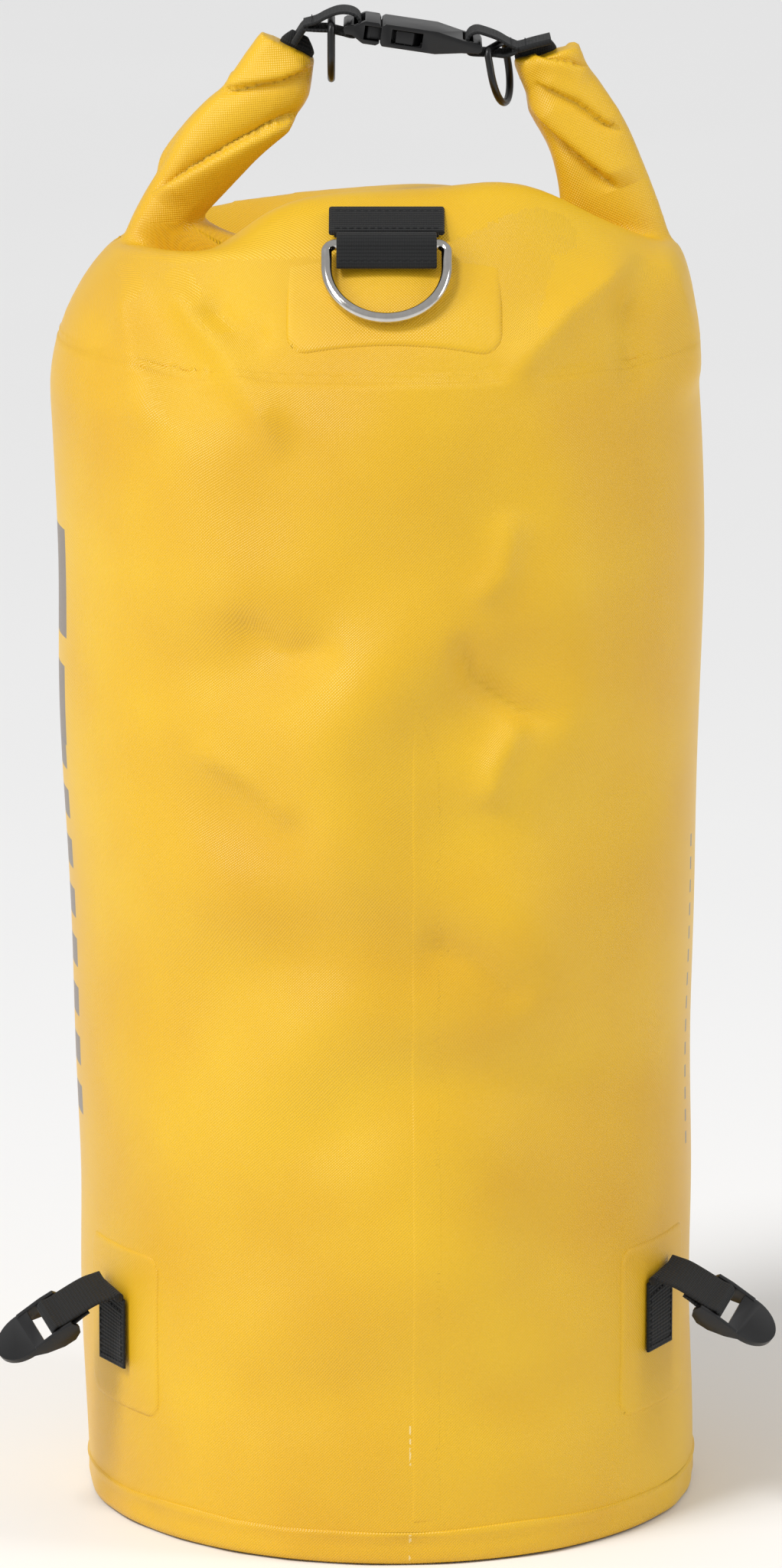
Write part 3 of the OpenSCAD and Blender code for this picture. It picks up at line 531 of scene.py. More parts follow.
def join(name, parts):
    """All parts as one mesh."""
    whole = bmesh.new()
    for part in parts:
        whole.from_mesh(part.data)
    data = bpy.data.meshes.new(name)
    whole.to_mesh(data)
    whole.free()
    for part in parts:
        bpy.data.objects.remove(part)
    made = bpy.data.objects.new(name, data)
    bpy.context.scene.collection.objects.link(made)
    return made


top_skin = join("top_skin", [shoulder_form, roll_form, left_form, right_form])
apply_modifier(top_skin, "REMESH", mode="VOXEL", voxel_size=VOXEL, use_smooth_shade=True)
apply_modifier(top_skin, "SMOOTH", factor=0.5, iterations=7)
print("melted top:", len(top_skin.data.polygons), "faces")

# %% [markdown]
# The loft of the straight wall is regular, so its dents stay clean. It is cut to meet the melted
# top at one height, and the two open rims are bridged face to face.

# %% Straight wall and bridge
AROUND = 260  # points round the wall
ROW_STEP = 3.4  # height between its rows
RIM_GAP = 3  # height between the two rims that are bridged
RELAX_BAND = 0.022  # metres each side of the bridge


def cut_level(shell, z):
    """Cuts the shell level at z and drops what is below it."""
    bmesh.ops.bisect_plane(shell, geom=shell.verts[:] + shell.edges[:] + shell.faces[:],
                           plane_co=(0, 0, z), plane_no=(0, 0, 1), clear_inner=True)


def smooth_across(shell, verts, times):
    """Smooths in plan only, so heights stay."""
    for _ in range(times):
        bmesh.ops.smooth_vert(shell, verts=verts, factor=0.5, use_axis_x=True, use_axis_y=True,
                              use_axis_z=False)


fine_rows = curve_through(stations[:13], 240)
wall_turns = np.linspace(0, 2 * math.pi, AROUND, endpoint=False)
level = np.concatenate([np.arange(16, SPLIT_Z - RIM_GAP, ROW_STEP), [SPLIT_Z - RIM_GAP]])
front_of = fine_rows[:, 3]
side_of = fine_rows[:, 0]
wall_rings = []
for z in level:
    ring = np.empty((AROUND, 3))
    for i, a in enumerate(wall_turns):
        at = side_of + (front_of - side_of) * math.sin(a) ** 2
        half = fine_rows[:, 1] if math.cos(a) < 0 else fine_rows[:, 2]
        ring[i] = (np.interp(z, at, half) * math.cos(a), np.interp(z, at, fine_rows[:, 4]) * math.sin(a), z)
    wall_rings.append(ring)
wall_skin = mesh_object("wall_skin", np.concatenate(wall_rings), grid_faces(len(level), AROUND, wrap=True))

shell = bmesh.new()
shell.from_mesh(top_skin.data)
cut_level(shell, SPLIT_Z * MM)
shell.from_mesh(wall_skin.data)
rims = [e for e in shell.edges if e.is_boundary
        and min(v.co.z for v in e.verts) > (SPLIT_Z - RIM_GAP - 1) * MM]
lower_rim = [e for e in rims if max(v.co.z for v in e.verts) < (SPLIT_Z - RIM_GAP + 1) * MM]
upper_rim = [e for e in rims if min(v.co.z for v in e.verts) > (SPLIT_Z - 1) * MM]
bmesh.ops.bridge_loops(shell, edges=lower_rim + upper_rim)
bmesh.ops.remove_doubles(shell, verts=shell.verts, dist=2e-5)
bmesh.ops.recalc_face_normals(shell, faces=shell.faces)
near_rim = [v for v in shell.verts if abs(v.co.z - (SPLIT_Z - 1) * MM) < RELAX_BAND]
smooth_across(shell, near_rim, 6)
bag_data = bpy.data.meshes.new("bag_skin")
shell.to_mesh(bag_data)
shell.free()
for spent in (top_skin, wall_skin):
    bpy.data.objects.remove(spent)
print("whole skin:", len(bag_data.polygons), "faces, open edges expected only at the base")

# %% [markdown]
# ## Dents and creases
# A packed bag is never a perfect tube: contents push out, and slack cloth falls in between. Broad
# dents are soft bells pressed into the wall. A crease is a line with a sharp floor and a rounded
# lip, because stiff coated cloth buckles in straight runs and bends tightly only along them.

# %% Tools for dents and creases
points = np.empty(len(bag_data.vertices) * 3)
bag_data.vertices.foreach_get("co", points)
points = points.reshape(-1, 3) / MM
normals = np.array([v.normal for v in bag_data.vertices], float)


def bell(x, z, wide, high, lean, depth, front=-1):
    """A soft dent (negative depth) or bulge on the front (-1) or back (1), leaning by degrees."""
    c, s = math.cos(math.radians(lean)), math.sin(math.radians(lean))
    dx, dz = points[:, 0] - x, points[:, 2] - z
    p, q = dx * c + dz * s, -dx * s + dz * c
    facing = np.clip(front * points[:, 1] / 60, 0, 1)
    return depth * np.exp(-(p / wide) ** 2 - (q / high) ** 2) * facing


def to_line(line):
    """Distance to a polyline in the front plane, its side (+1 left of travel) and how far along, 0 to 1."""
    best = np.full(len(points), 1e9)
    side = np.ones(len(points))
    where = np.zeros(len(points))
    line = np.asarray(line, float)
    seg = np.linalg.norm(np.diff(line, axis=0), axis=1)
    start = np.concatenate([[0], np.cumsum(seg)])
    for k in range(len(line) - 1):
        a, d = line[k], line[k + 1] - line[k]
        px, pz = points[:, 0] - a[0], points[:, 2] - a[1]
        t = np.clip((px * d[0] + pz * d[1]) / (d @ d), 0, 1)
        away = np.hypot(px - t * d[0], pz - t * d[1])
        hit = away < best
        best[hit] = away[hit]
        side[hit] = np.sign(d[0] * pz - d[1] * px)[hit]
        where[hit] = ((start[k] + t * seg[k]) / start[-1])[hit]
    return best, side, where


def crease(line, width, depth, front=-1):
    """A ridge (positive) or valley (negative) along a line, fading over a quarter at each end."""
    away, _, where = to_line(line)
    fade = np.clip(np.minimum(where, 1 - where) / 0.25, 0, 1)
    fade = fade * fade * (3 - 2 * fade)
    facing = np.clip(front * points[:, 1] / 25, 0, 1)
    return depth * np.exp(-(away / width) ** 1.5) * fade * facing


def pleat(line, over, width, depth, front=-1):
    """Two layers meeting on a line: the cloth on the side `over` laps the other."""
    away, side, where = to_line(line)
    fade = np.clip(np.minimum(where, 1 - where) / 0.16, 0, 1)
    full = depth * (1 - np.exp(-away / (0.28 * width)))
    shade = -depth * np.exp(-away / width)
    lap = np.where(side == over, full, shade)
    near = np.exp(-(away / (2.2 * width)) ** 2)
    facing = np.clip(front * points[:, 1] / 6, 0, 1)
    return lap * near * fade * facing


print("skin points to shape:", len(points))

# %% [markdown]
# The dents are listed by their place across and up, width, height, lean and depth. The creases are
# lines with a width and a height. Two strengths say how slack the whole bag is, so its softness can
# be changed without touching the lists.

# %% Shape the skin
DENT_STRENGTH = 2.3
CREASE_STRENGTH = 1.8

dents = [
    (-58, 505, 34, 42, 30, -3.4), (-6, 470, 40, 34, -20, -3.0), (52, 500, 30, 44, 25, -2.6),
    (-66, 425, 44, 24, 15, -3.2), (-18, 405, 26, 40, -35, 2.2), (44, 408, 46, 26, 30, -4.2),
    (88, 440, 26, 50, 10, 2.0), (-70, 352, 40, 26, -30, -3.4), (-22, 345, 24, 34, 20, 2.2),
    (34, 350, 32, 26, -15, -3.2), (92, 355, 30, 30, 20, -2.6), (-44, 290, 40, 28, 25, -3.2),
    (16, 288, 30, 26, 0, -2.4), (62, 296, 26, 34, 40, 2.4), (-86, 262, 30, 40, 0, -2.2),
    (28, 232, 46, 22, -10, -3.0), (-28, 210, 38, 24, 20, -2.2), (84, 222, 34, 30, -25, -2.6),
    (-60, 150, 44, 34, 10, -1.8), (20, 140, 46, 30, -15, 1.6), (76, 150, 30, 36, 0, -1.8),
    (-20, 82, 60, 22, 5, -1.6), (60, 70, 40, 20, -5, -1.4), (-96, 560, 24, 26, -20, -2.6)]
shape = DENT_STRENGTH * sum(bell(*dent) for dent in dents)
back_dents = [(50, 480, 46, 36, 20, -3.4), (-40, 440, 40, 50, -25, -3.6), (30, 380, 44, 28, 10, -3.0),
              (-60, 330, 36, 40, 20, 2.2), (20, 290, 50, 30, -15, -3.2), (-30, 220, 44, 32, 15, -2.8),
              (60, 190, 36, 40, -10, -2.4), (-10, 120, 60, 26, 0, -1.8), (-80, 500, 30, 40, 30, -2.4)]
shape = shape + sum(bell(*dent, front=1) for dent in back_dents)
angle = np.arctan2(points[:, 0], -points[:, 1])
ripple = np.sin(3 * angle + points[:, 2] / 61) * np.sin(points[:, 2] / 47 + 1.7 * np.sin(2 * angle))
calm = np.clip((points[:, 2] - 20) / 70, 0, 1) * np.clip((596 - points[:, 2]) / 40, 0, 1)
shape = shape * np.clip((points[:, 2] - 18) / 40, 0, 1) + ripple * calm
creases = [
    ([[-112, 596], [-96, 586], [-76, 566], [-58, 540], [-50, 520]], 7.5, 3.2),
    ([[-122, 598], [-122, 578], [-116, 548], [-112, 520]], 8, 2.2),
    ([[116, 604], [100, 594], [80, 582], [62, 566], [52, 548]], 9, 3.4),
    ([[122, 606], [130, 588], [138, 562], [140, 530]], 8, 2.4),
    ([[-88, 590], [-70, 578], [-52, 574]], 7, -2.2), ([[104, 596], [112, 570], [112, 540]], 8, -2.4),
    ([[30, 446], [40, 420], [62, 404], [84, 396]], 6, -2.4), ([[36, 452], [52, 470], [58, 500]], 8, 2.0),
    ([[64, 404], [50, 380], [44, 356]], 7, 2.2), ([[-80, 448], [-50, 430], [-20, 438]], 8, -2.0),
    ([[-96, 386], [-66, 372], [-40, 350]], 7, 2.0), ([[10, 300], [40, 288], [66, 262]], 8, -1.8)]
for line, width, depth in creases:
    shape = shape + crease(line, width, CREASE_STRENGTH * depth)
back_creases = [
    ([[-100, 590], [-60, 560], [-30, 520]], 9, 3.0), ([[104, 594], [66, 566], [40, 520]], 9, 3.0),
    ([[-20, 470], [20, 440], [50, 400]], 7, -2.4), ([[-70, 400], [-30, 360], [0, 300]], 8, 2.0)]
for line, width, depth in back_creases:
    shape = shape + crease(line, width, depth, front=1)
points = points + normals * shape[:, None]
print("dents from", round(float(shape.min()), 1), "to", round(float(shape.max()), 1), "mm")

# %% [markdown]
# Where the two meshes were bridged, a dent can leave a step. Three bands round the bridge, each
# narrower than the last, are smoothed in plan, most at the middle.

# %% Relax the bridge
bag_data.vertices.foreach_set("co", (points * MM).ravel())
bag_data.update()
relaxed = bmesh.new()
relaxed.from_mesh(bag_data)
for reach in (14, 10, 7):
    bridge_zone = [v for v in relaxed.verts if abs(v.co.z - SPLIT_Z * MM) < reach * MM]
    smooth_across(relaxed, bridge_zone, 3)
relaxed.to_mesh(bag_data)
relaxed.free()
print("last band:", len(bridge_zone), "points")

# %% [markdown]
# ## The map of the cloth
# A texture map in millimetres lets the scrim and the ink lie on the cloth as if it were flat. On the
# wall it counts round and up; on the lying shoulder it is the plan; on a standing end it counts
# across and along the end. The plan part is shifted far up the map, so no ink bar reaches it.

# %% Cloth map
MAP_RADIUS = 146  # the wall is unrolled at this radius
PLAN_SHIFT = 1000


def cloth_map(data):
    """Gives each corner its place on the cloth in millimetres: round the body and up it, or across
    and along a standing end, whichever the face lies on."""
    layer = data.uv_layers.get("cloth") or data.uv_layers.new(name="cloth")
    corner = np.empty(len(data.loops), dtype=np.int64)
    data.loops.foreach_get("vertex_index", corner)
    place = np.array([v.co for v in data.vertices], float)[corner] / MM
    face = np.empty(len(data.loops), dtype=np.int64)
    middle = np.empty((len(data.loops), 3))
    facing = np.empty((len(data.loops), 3))
    for polygon in data.polygons:
        span = slice(polygon.loop_start, polygon.loop_start + polygon.loop_total)
        face[span] = polygon.index
        middle[span] = polygon.center
        facing[span] = polygon.normal
    middle /= MM
    turn = np.arctan2(place[:, 0], -place[:, 1])
    home = np.arctan2(middle[:, 0], -middle[:, 1])
    turn = np.where(turn - home > math.pi, turn - 2 * math.pi, turn)
    turn = np.where(home - turn > math.pi, turn + 2 * math.pi, turn)
    inset = np.clip(MAP_RADIUS - np.hypot(place[:, 0], place[:, 1]), 0, None)
    uv = np.stack([turn * MAP_RADIUS, place[:, 2] + inset], 1)
    lying = (np.abs(facing[:, 2]) > 0.72) & (middle[:, 2] > 575)
    uv[lying] = place[lying][:, :2] + (0, PLAN_SHIFT)
    standing = (middle[:, 2] > 612) & (np.abs(middle[:, 1]) < 22)
    lean = np.where(middle[:, 0] < 0, 0.66, -0.34)
    along = place[:, 0] * lean + place[:, 2] * np.sqrt(1 - lean**2)
    across = place[:, 0] * np.sqrt(1 - lean**2) - place[:, 2] * lean
    edge = np.abs(facing[:, 1]) < 0.5
    across = np.where(edge, place[:, 1], across)
    uv[standing] = np.stack([across, along], 1)[standing]
    layer.data.foreach_set("uv", uv.astype(np.float32).ravel())


print("half way round the wall is", round(math.pi * MAP_RADIUS), "mm in the map")

# %% [markdown]
# ## Cutting the standing ends free
# Each standing end swings about its shoulder when the buckle is undone. It becomes its own piece,
# cut just above the shoulder pivot. Both sides of the cut are capped, so each piece stays a closed
# form.

# %% Cut the ends
SHARP_FROM = math.radians(68)  # sharper edges, such as the rims of the cuts, stay crisp
ends = {"left": dict(at=np.array([-103, 0, 617.0]), along=np.array([0.60, 0, 0.80])),
        "right": dict(at=np.array([103, 0, 626.0]), along=np.array([-0.33, 0, 0.944]))}


def cut_end(shell, at, along):
    """Splits the shell by a plane near the pivot and returns the faces of the standing end. The parts
    to cut are gathered in a dictionary, which keeps its order, so each run cuts alike."""
    across = np.array([along[2], 0, -along[0]])

    def inside(co, deep=0.0):
        d = np.array(co) / MM - at
        return abs(d @ across) < 36 and abs(d[1]) < 21 and d @ along > -deep

    near = [f for f in shell.faces if inside(f.calc_center_median(), 8) and
            (np.array(f.calc_center_median()) / MM - at) @ along < 8]
    parts = dict.fromkeys(near)
    for f in near:
        parts.update(dict.fromkeys([*f.edges, *f.verts]))
    bmesh.ops.bisect_plane(shell, geom=list(parts), plane_co=Vector(at * MM), plane_no=Vector(along),
                           dist=1e-5)
    return [f for f in shell.faces if inside(f.calc_center_median())]


def cap(shell):
    """Closes every open rim above the base."""
    rims = [e for e in shell.edges if e.is_boundary and min(v.co.z for v in e.verts) > 0.3]
    if rims:
        bmesh.ops.holes_fill(shell, edges=rims, sides=0)


end_skins = {}
shell = bmesh.new()
shell.from_mesh(bag_data)
for name, end in ends.items():
    faces = cut_end(shell, end["at"], end["along"])
    piece = bmesh.ops.duplicate(shell, geom=faces)
    keep = [f for f in piece["geom"] if isinstance(f, bmesh.types.BMFace)]
    bmesh.ops.delete(shell, geom=faces, context="FACES")
    loose = bmesh.new()
    table = {}
    for face in keep:
        for v in face.verts:
            if v not in table:
                table[v] = loose.verts.new(v.co)
        loose.faces.new([table[v] for v in face.verts])
    bmesh.ops.delete(shell, geom=keep, context="FACES")
    bmesh.ops.subdivide_edges(loose, edges=loose.edges[:], cuts=1, use_grid_fill=True)
    cap(loose)
    bmesh.ops.recalc_face_normals(loose, faces=loose.faces)
    data = bpy.data.meshes.new(name + "_end_skin")
    loose.to_mesh(data)
    loose.free()
    data.shade_smooth()
    data.set_sharp_from_angle(angle=SHARP_FROM)
    end_skins[name] = bpy.data.objects.new(name + "_end_skin", data)
    bpy.context.scene.collection.objects.link(end_skins[name])
bmesh.ops.delete(shell, geom=[v for v in shell.verts if not v.link_faces], context="VERTS")
cap(shell)
shell.to_mesh(bag_data)
shell.free()
bag_data.shade_smooth()
bag_data.set_sharp_from_angle(angle=SHARP_FROM)
bag_skin = bpy.data.objects.new("bag_skin", bag_data)
bpy.context.scene.collection.objects.link(bag_skin)
cloth_map(bag_data)
print("bag skin:", len(bag_data.polygons), "faces; ends:", [len(o.data.polygons) for o in end_skins.values()])

# %% [markdown]
# ## Folds of the standing ends
# The rolled layers cross each end on the slant, because the roll twists as it is bent upwards. Each
# lap has a crisp lower edge with shade under it and a full, rounded layer above it.

# %% Fold the ends
BACK_RISE, BACK_SHARE = 6, 0.9  # behind, each fold sits this much higher and is a little shallower
FOLD_EASE = 9  # folds come in over this distance above the cut
folds = {
    "left": [([[-119, 618], [-110, 626], [-94, 636], [-70, 649.5], [-56, 656], [-36, 663]], -1, 4.6, 4.2),
             ([[-80, 672], [-66, 675], [-50, 678], [-35, 684]], 1, 3.4, 3.0)],
    "right": [([[60, 668], [75, 653.3], [90, 640], [105, 628], [114, 619], [118, 610]], 1, 4.8, 4.4),
              ([[66, 677], [86.5, 667.8], [97.8, 658.7], [108, 654]], 1, 4.2, 2.4),
              ([[64, 689.5], [79, 687], [94, 682]], -1, 3.2, 2.4)]}
for name, made in end_skins.items():
    data = made.data
    count = len(data.vertices)
    flat = np.empty(count * 3)
    data.vertices.foreach_get("co", flat)
    points = flat.reshape(-1, 3) / MM
    slope = np.array([v.normal for v in data.vertices], float)
    moved = np.zeros(count)
    for line, over, width, depth in folds[name]:
        moved += pleat(line, over, width, depth)
        behind = [[x, z + BACK_RISE] for x, z in line]
        moved += pleat(behind, -over, width, depth * BACK_SHARE, front=1)
    end = ends[name]
    rise = np.clip(((points - end["at"]) @ end["along"]) / FOLD_EASE, 0, 1)
    points = points + slope * (moved * rise)[:, None]
    data.vertices.foreach_set("co", (points * MM).ravel())
    data.update()
    cloth_map(data)
    made.data.materials.append(plain_tarpaulin)
    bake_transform(made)
    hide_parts(name + "_arm_roll")
bag_skin.data.materials.append(yellow_tarpaulin)
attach(bag_skin, "bag")
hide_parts("bag_wall", "roll_middle")
bpy.context.view_layer.update()
skin_tree = BVHTree.FromObject(bag_skin, bpy.context.evaluated_depsgraph_get())
print("ends folded")

# %% [markdown]
# ## Base
# The floor is a round panel pressed into a shallow dish and welded inside a doubled hem. The weld
# leaves a lip where the wall ends, and the hem is pinched here and there where the panel's edge
# was gathered.

# %% Hem and base panel
HEM_TOP = 16.5
FLOOR_TOP = 13.5  # inside, the floor panel lies level at this height


def hem_profile(turn):
    """Radius and height pairs round the hem's section at one angle."""
    pinch = 0.9 * math.sin(9 * turn + 1.3 * math.sin(2 * turn))
    pinch += 0.8 * math.sin(23 * turn + 2 * math.sin(3 * turn))
    lip = 2.2 * math.sin(5 * turn + 0.7) + 1.2 * math.sin(11 * turn + 1.9)
    return [(134, FLOOR_TOP), (141.2, 15.6 + lip * 0.3), (144.6, HEM_TOP + 0.4 + lip * 0.3),
            (145.9, 15.6 + lip * 0.4),
            (145.6 + pinch * 0.25, 13.6), (144.9 + pinch * 0.4, 11), (145.1 + pinch * 0.5, 7.5),
            (145.2 + pinch * 0.4, 3.6), (144.6 + pinch * 0.3, 1.2), (143.4, 0.3), (142.2, 1.4), (141.2, 6),
            (139, 10.2), (134, 11.2), (128, 8.5), (122, 5), (114, 2.2), (100, 0.9), (60, 0.5), (0.01, 0.5)]


hem_turns = np.linspace(0, 2 * math.pi, 288, endpoint=False)
sections = np.array([hem_profile(t) for t in hem_turns])
count = sections.shape[1]
hem_points = np.stack([sections[..., 0] * np.cos(hem_turns)[:, None],
                       sections[..., 0] * np.sin(hem_turns)[:, None], sections[..., 1]], -1)
hem_faces = grid_faces(len(hem_turns), count)
last = (len(hem_turns) - 1) * count
hem_faces += [(last + i, i, i + 1, last + i + 1) for i in range(count - 1)]
middle_point = len(hem_turns) * count
hem_points = np.vstack([hem_points.reshape(-1, 3), [[0, 0, FLOOR_TOP]]])
hem_faces += [(k * count, ((k + 1) % len(hem_turns)) * count, middle_point) for k in range(len(hem_turns))]
hem_uv = np.stack([np.arctan2(hem_points[:, 0], -hem_points[:, 1]) * MAP_RADIUS, hem_points[:, 2]], 1)
base_skin = outward(mesh_object("base_skin", hem_points, hem_faces, hem_uv))
base_skin.data.materials.append(plain_tarpaulin)
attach(base_skin, "bag")
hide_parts("base_panel", "base_hem")
print("base skin:", len(base_skin.data.polygons), "faces")

# %% [markdown]
# ## Welded patches and the lap seam
# Reinforcing patches are welded over the wall where hardware pulls on it. Each is a thin sheet with
# rounded corners whose edge melts into the wall. Every point is found by a ray shot at the finished
# skin, so a patch follows each dent under it.

# %% Patches
EDGE_SOFT = 0.5  # a patch's edge rounds over in this distance
EDGE_SUNK = 0.12  # and ends this far inside the wall
PATCH_UNDER = 0.6  # the hidden face lies this deep
ANCHOR_TURN = math.radians(61) * MAP_RADIUS  # the side anchors sit 61 degrees round from the front
SIDE_PATCH_HALF, SIDE_PATCH_CORNER, SIDE_PATCH_RISE = 33, 9, 0.75


def drape(name, start, aim, u_range, v_range, corner, rise, columns=44, rows=44, taper=0.0, fade=None):
    """A sheet laid on the skin. start(u, v) and aim(u, v) give the ray in millimetres. taper thins
    it across, and fade sinks it into the skin between two heights, so its end can't be seen."""
    us, vs = np.linspace(*u_range, columns), np.linspace(*v_range, rows)
    (u0, u1), (v0, v1) = u_range, v_range
    upper, lower, uv = [], [], []
    for v in vs:
        for u in us:
            cu = min(max(u, u0 + corner), u1 - corner)
            cv = min(max(v, v0 + corner), v1 - corner)
            du, dv = u - cu, v - cv
            reach = math.hypot(du, dv)
            if reach > corner:
                u2, v2 = cu + du * corner / reach, cv + dv * corner / reach
            else:
                u2, v2 = u, v
            edge = min(u2 - u0, u1 - u2, v2 - v0, v1 - v2)
            if abs(du) > 1e-9 and abs(dv) > 1e-9:
                edge = min(edge, corner - min(reach, corner))
            origin, direction = start(u2, v2), Vector(aim(u2, v2)).normalized()
            hit, normal, _, _ = skin_tree.ray_cast(Vector(origin) * MM, direction)
            normal = normal if normal.dot(direction) < 0 else -normal
            thin = 1 - taper * (u2 - u0) / (u1 - u0)
            lift = rise * (1 - math.exp(-max(edge, 0) / EDGE_SOFT)) * thin - EDGE_SUNK
            if fade:
                lift -= (rise + 0.1) * min(max((v2 - fade[0]) / (fade[1] - fade[0]), 0), 1)
            upper.append(np.array(hit) / MM + np.array(normal) * lift)
            lower.append(np.array(hit) / MM - np.array(normal) * PATCH_UNDER)
            uv.append((u2, v2))
    n = columns * rows
    faces = grid_faces(rows, columns)
    faces += [tuple(i + n for i in f[::-1]) for f in grid_faces(rows, columns)]
    rim = list(range(columns))
    rim += [j * columns + columns - 1 for j in range(1, rows)]
    rim += [(rows - 1) * columns + i for i in range(columns - 2, -1, -1)]
    rim += [j * columns for j in range(rows - 2, 0, -1)]
    faces += [(a, b, b + n, a + n) for a, b in zip(rim, rim[1:] + rim[:1])]
    made = outward(mesh_object(name, upper + lower, faces, uv + uv))
    made.data.materials.append(plain_tarpaulin)
    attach(made, "bag")
    return made


def radial(u, v):
    """A point well outside the wall at a place of the cloth map."""
    turn = u / MAP_RADIUS
    return (300 * math.sin(turn), -300 * math.cos(turn), v)


def inward(u, v):
    """The level direction from there to the middle."""
    turn = u / MAP_RADIUS
    return (-math.sin(turn), math.cos(turn), 0)


left_patch = drape("left_patch_skin", radial, inward,
                   (-ANCHOR_TURN - SIDE_PATCH_HALF, -ANCHOR_TURN + SIDE_PATCH_HALF), (56, 135),
                   SIDE_PATCH_CORNER, SIDE_PATCH_RISE)
right_patch = drape("right_patch_skin", radial, inward,
                    (ANCHOR_TURN - SIDE_PATCH_HALF, ANCHOR_TURN + SIDE_PATCH_HALF), (56, 139),
                    SIDE_PATCH_CORNER, SIDE_PATCH_RISE)
# The D-ring's patch lies on the sloping shoulder, so its rays fall square to that slope.
shoulder_up = np.array([0, 0.807, 0.59])
shoulder_out = np.array([0, -0.59, 0.807])
foot = np.array([-2, -96, 609.0])
front_patch = drape("d_ring_patch_skin",
                    lambda u, v: tuple(foot + np.array([u, 0, 0]) + shoulder_up * v + shoulder_out * 60),
                    lambda u, v: tuple(-shoulder_out), (-46, 53), (-46, 24), 11, 0.9, 50, 50,
                    fade=(-22, 4))
lap_seam = drape("lap_seam_skin", radial, inward, (9, 29), (19, 470), 0.6, 0.3, 10, 140, taper=0.85,
                 fade=(380, 460))
for made, node in ((left_patch, "left_patch"), (right_patch, "right_patch"), (front_patch, "d_ring_patch"),
                   (lap_seam, "side_seam")):
    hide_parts(node)
print("patches laid")

# %% [markdown]
# ## Stitches
# Sewn webbing shows rows of short thread dashes. A Geometry Nodes tree resamples each row to the
# stitch spacing and lays one small capsule of thread on every point, along the row.

# %% Stitch tree
thread_seed = bpy.data.meshes.new("thread_capsule")
capsule = bmesh.new()
bmesh.ops.create_uvsphere(capsule, u_segments=6, v_segments=5, radius=0.5)
capsule.to_mesh(thread_seed)
capsule.free()
thread_unit = bpy.data.objects.new("thread_unit", thread_seed)


def stitch_tree():
    """Rows in, thread out, with a named input for each size."""
    tree = bpy.data.node_groups.new("stitch_rows", "GeometryNodeTree")
    tree.interface.new_socket("Rows", in_out="INPUT", socket_type="NodeSocketGeometry")
    for label, value in (("Spacing", 0.0032), ("Stitch length", 0.0024), ("Thread width", 0.0006)):
        tree.interface.new_socket(label, in_out="INPUT", socket_type="NodeSocketFloat").default_value = value
    tree.interface.new_socket("Thread", in_out="INPUT", socket_type="NodeSocketMaterial")
    tree.interface.new_socket("Stitches", in_out="OUTPUT", socket_type="NodeSocketGeometry")
    given = add(tree, "NodeGroupInput")
    row = add(tree, "GeometryNodeMeshToCurve", {}, {"Mesh": given.outputs["Rows"]})
    spaced = add(tree, "GeometryNodeResampleCurve", {"mode": "LENGTH"},
                 {"Curve": row.outputs[0], "Length": given.outputs["Spacing"]})
    tangent = add(tree, "GeometryNodeInputTangent")
    turn = add(tree, "FunctionNodeAlignRotationToVector", {"axis": "Z"}, {"Vector": tangent.outputs[0]})
    size = add(tree, "ShaderNodeCombineXYZ", {}, {"X": given.outputs["Thread width"],
               "Y": given.outputs["Thread width"], "Z": given.outputs["Stitch length"]})
    unit = add(tree, "GeometryNodeObjectInfo", {"transform_space": "ORIGINAL"})
    unit.inputs["Object"].default_value = thread_unit
    laid = add(tree, "GeometryNodeInstanceOnPoints", {},
               {"Points": spaced.outputs[0], "Instance": unit.outputs["Geometry"],
                "Rotation": turn.outputs[0], "Scale": size.outputs[0]})
    real = add(tree, "GeometryNodeRealizeInstances", {}, {0: laid.outputs[0]})
    painted = add(tree, "GeometryNodeSetMaterial", {},
                  {"Geometry": real.outputs[0], "Material": given.outputs["Thread"]})
    add(tree, "NodeGroupOutput", {}, {"Stitches": painted.outputs[0]})
    return tree


stitches = stitch_tree()
print("stitch tree nodes:", len(stitches.nodes), "faces in one stitch:", len(thread_seed.polygons))


def sew(name, rows, body, spacing=3.2, length=2.4, thick=0.65):
    """Rows of stitches, each a list of points in millimetres, riding on a body."""
    verts, edges = [], []
    for row in rows:
        first = len(verts)
        verts += [tuple(np.asarray(p, float) * MM) for p in row]
        edges += [(first + i, first + i + 1) for i in range(len(row) - 1)]
    data = bpy.data.meshes.new(name)
    data.from_pydata(verts, edges, [])
    made = bpy.data.objects.new(name, data)
    bpy.context.scene.collection.objects.link(made)
    modifier = made.modifiers.new("stitches", "NODES")
    modifier.node_group = stitches
    values = {"Spacing": spacing * MM, "Stitch length": length * MM, "Thread width": thick * MM,
              "Thread": black_thread}
    for item in stitches.interface.items_tree:
        if item.item_type == "SOCKET" and item.in_out == "INPUT" and item.name in values:
            modifier[item.identifier] = values[item.name]
    result = bpy.data.meshes.new_from_object(made.evaluated_get(bpy.context.evaluated_depsgraph_get()))
    made.modifiers.clear()
    made.data = result
    result.shade_smooth()
    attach(made, body)
    print(name, len(result.polygons), "faces of thread")
    return made


# %% [markdown]
# ## D-ring tab
# A short doubled length of wide webbing is folded round the bar of the D-ring and sewn under a flat
# flap. Only the flap's top edge and the cushion-like roll round the bar stand proud.

# %% D-ring tab
# The D-ring's bar, as the frame has it: front to back, up, and across; and the slope under it.
bar = np.array([-97.92, 614.68])
D_X = -2.0
SLOPE = math.radians(36.16)
up = np.array([math.cos(SLOPE), math.sin(SLOPE)])
out = np.array([-up[1], up[0]])


def in_yz(pairs):
    """Points in the middle plane of the D-ring from (along the slope, away from it) pairs."""
    flat = [bar + a * up + b * out for a, b in pairs]
    return [(D_X, p[0], p[1]) for p in flat]


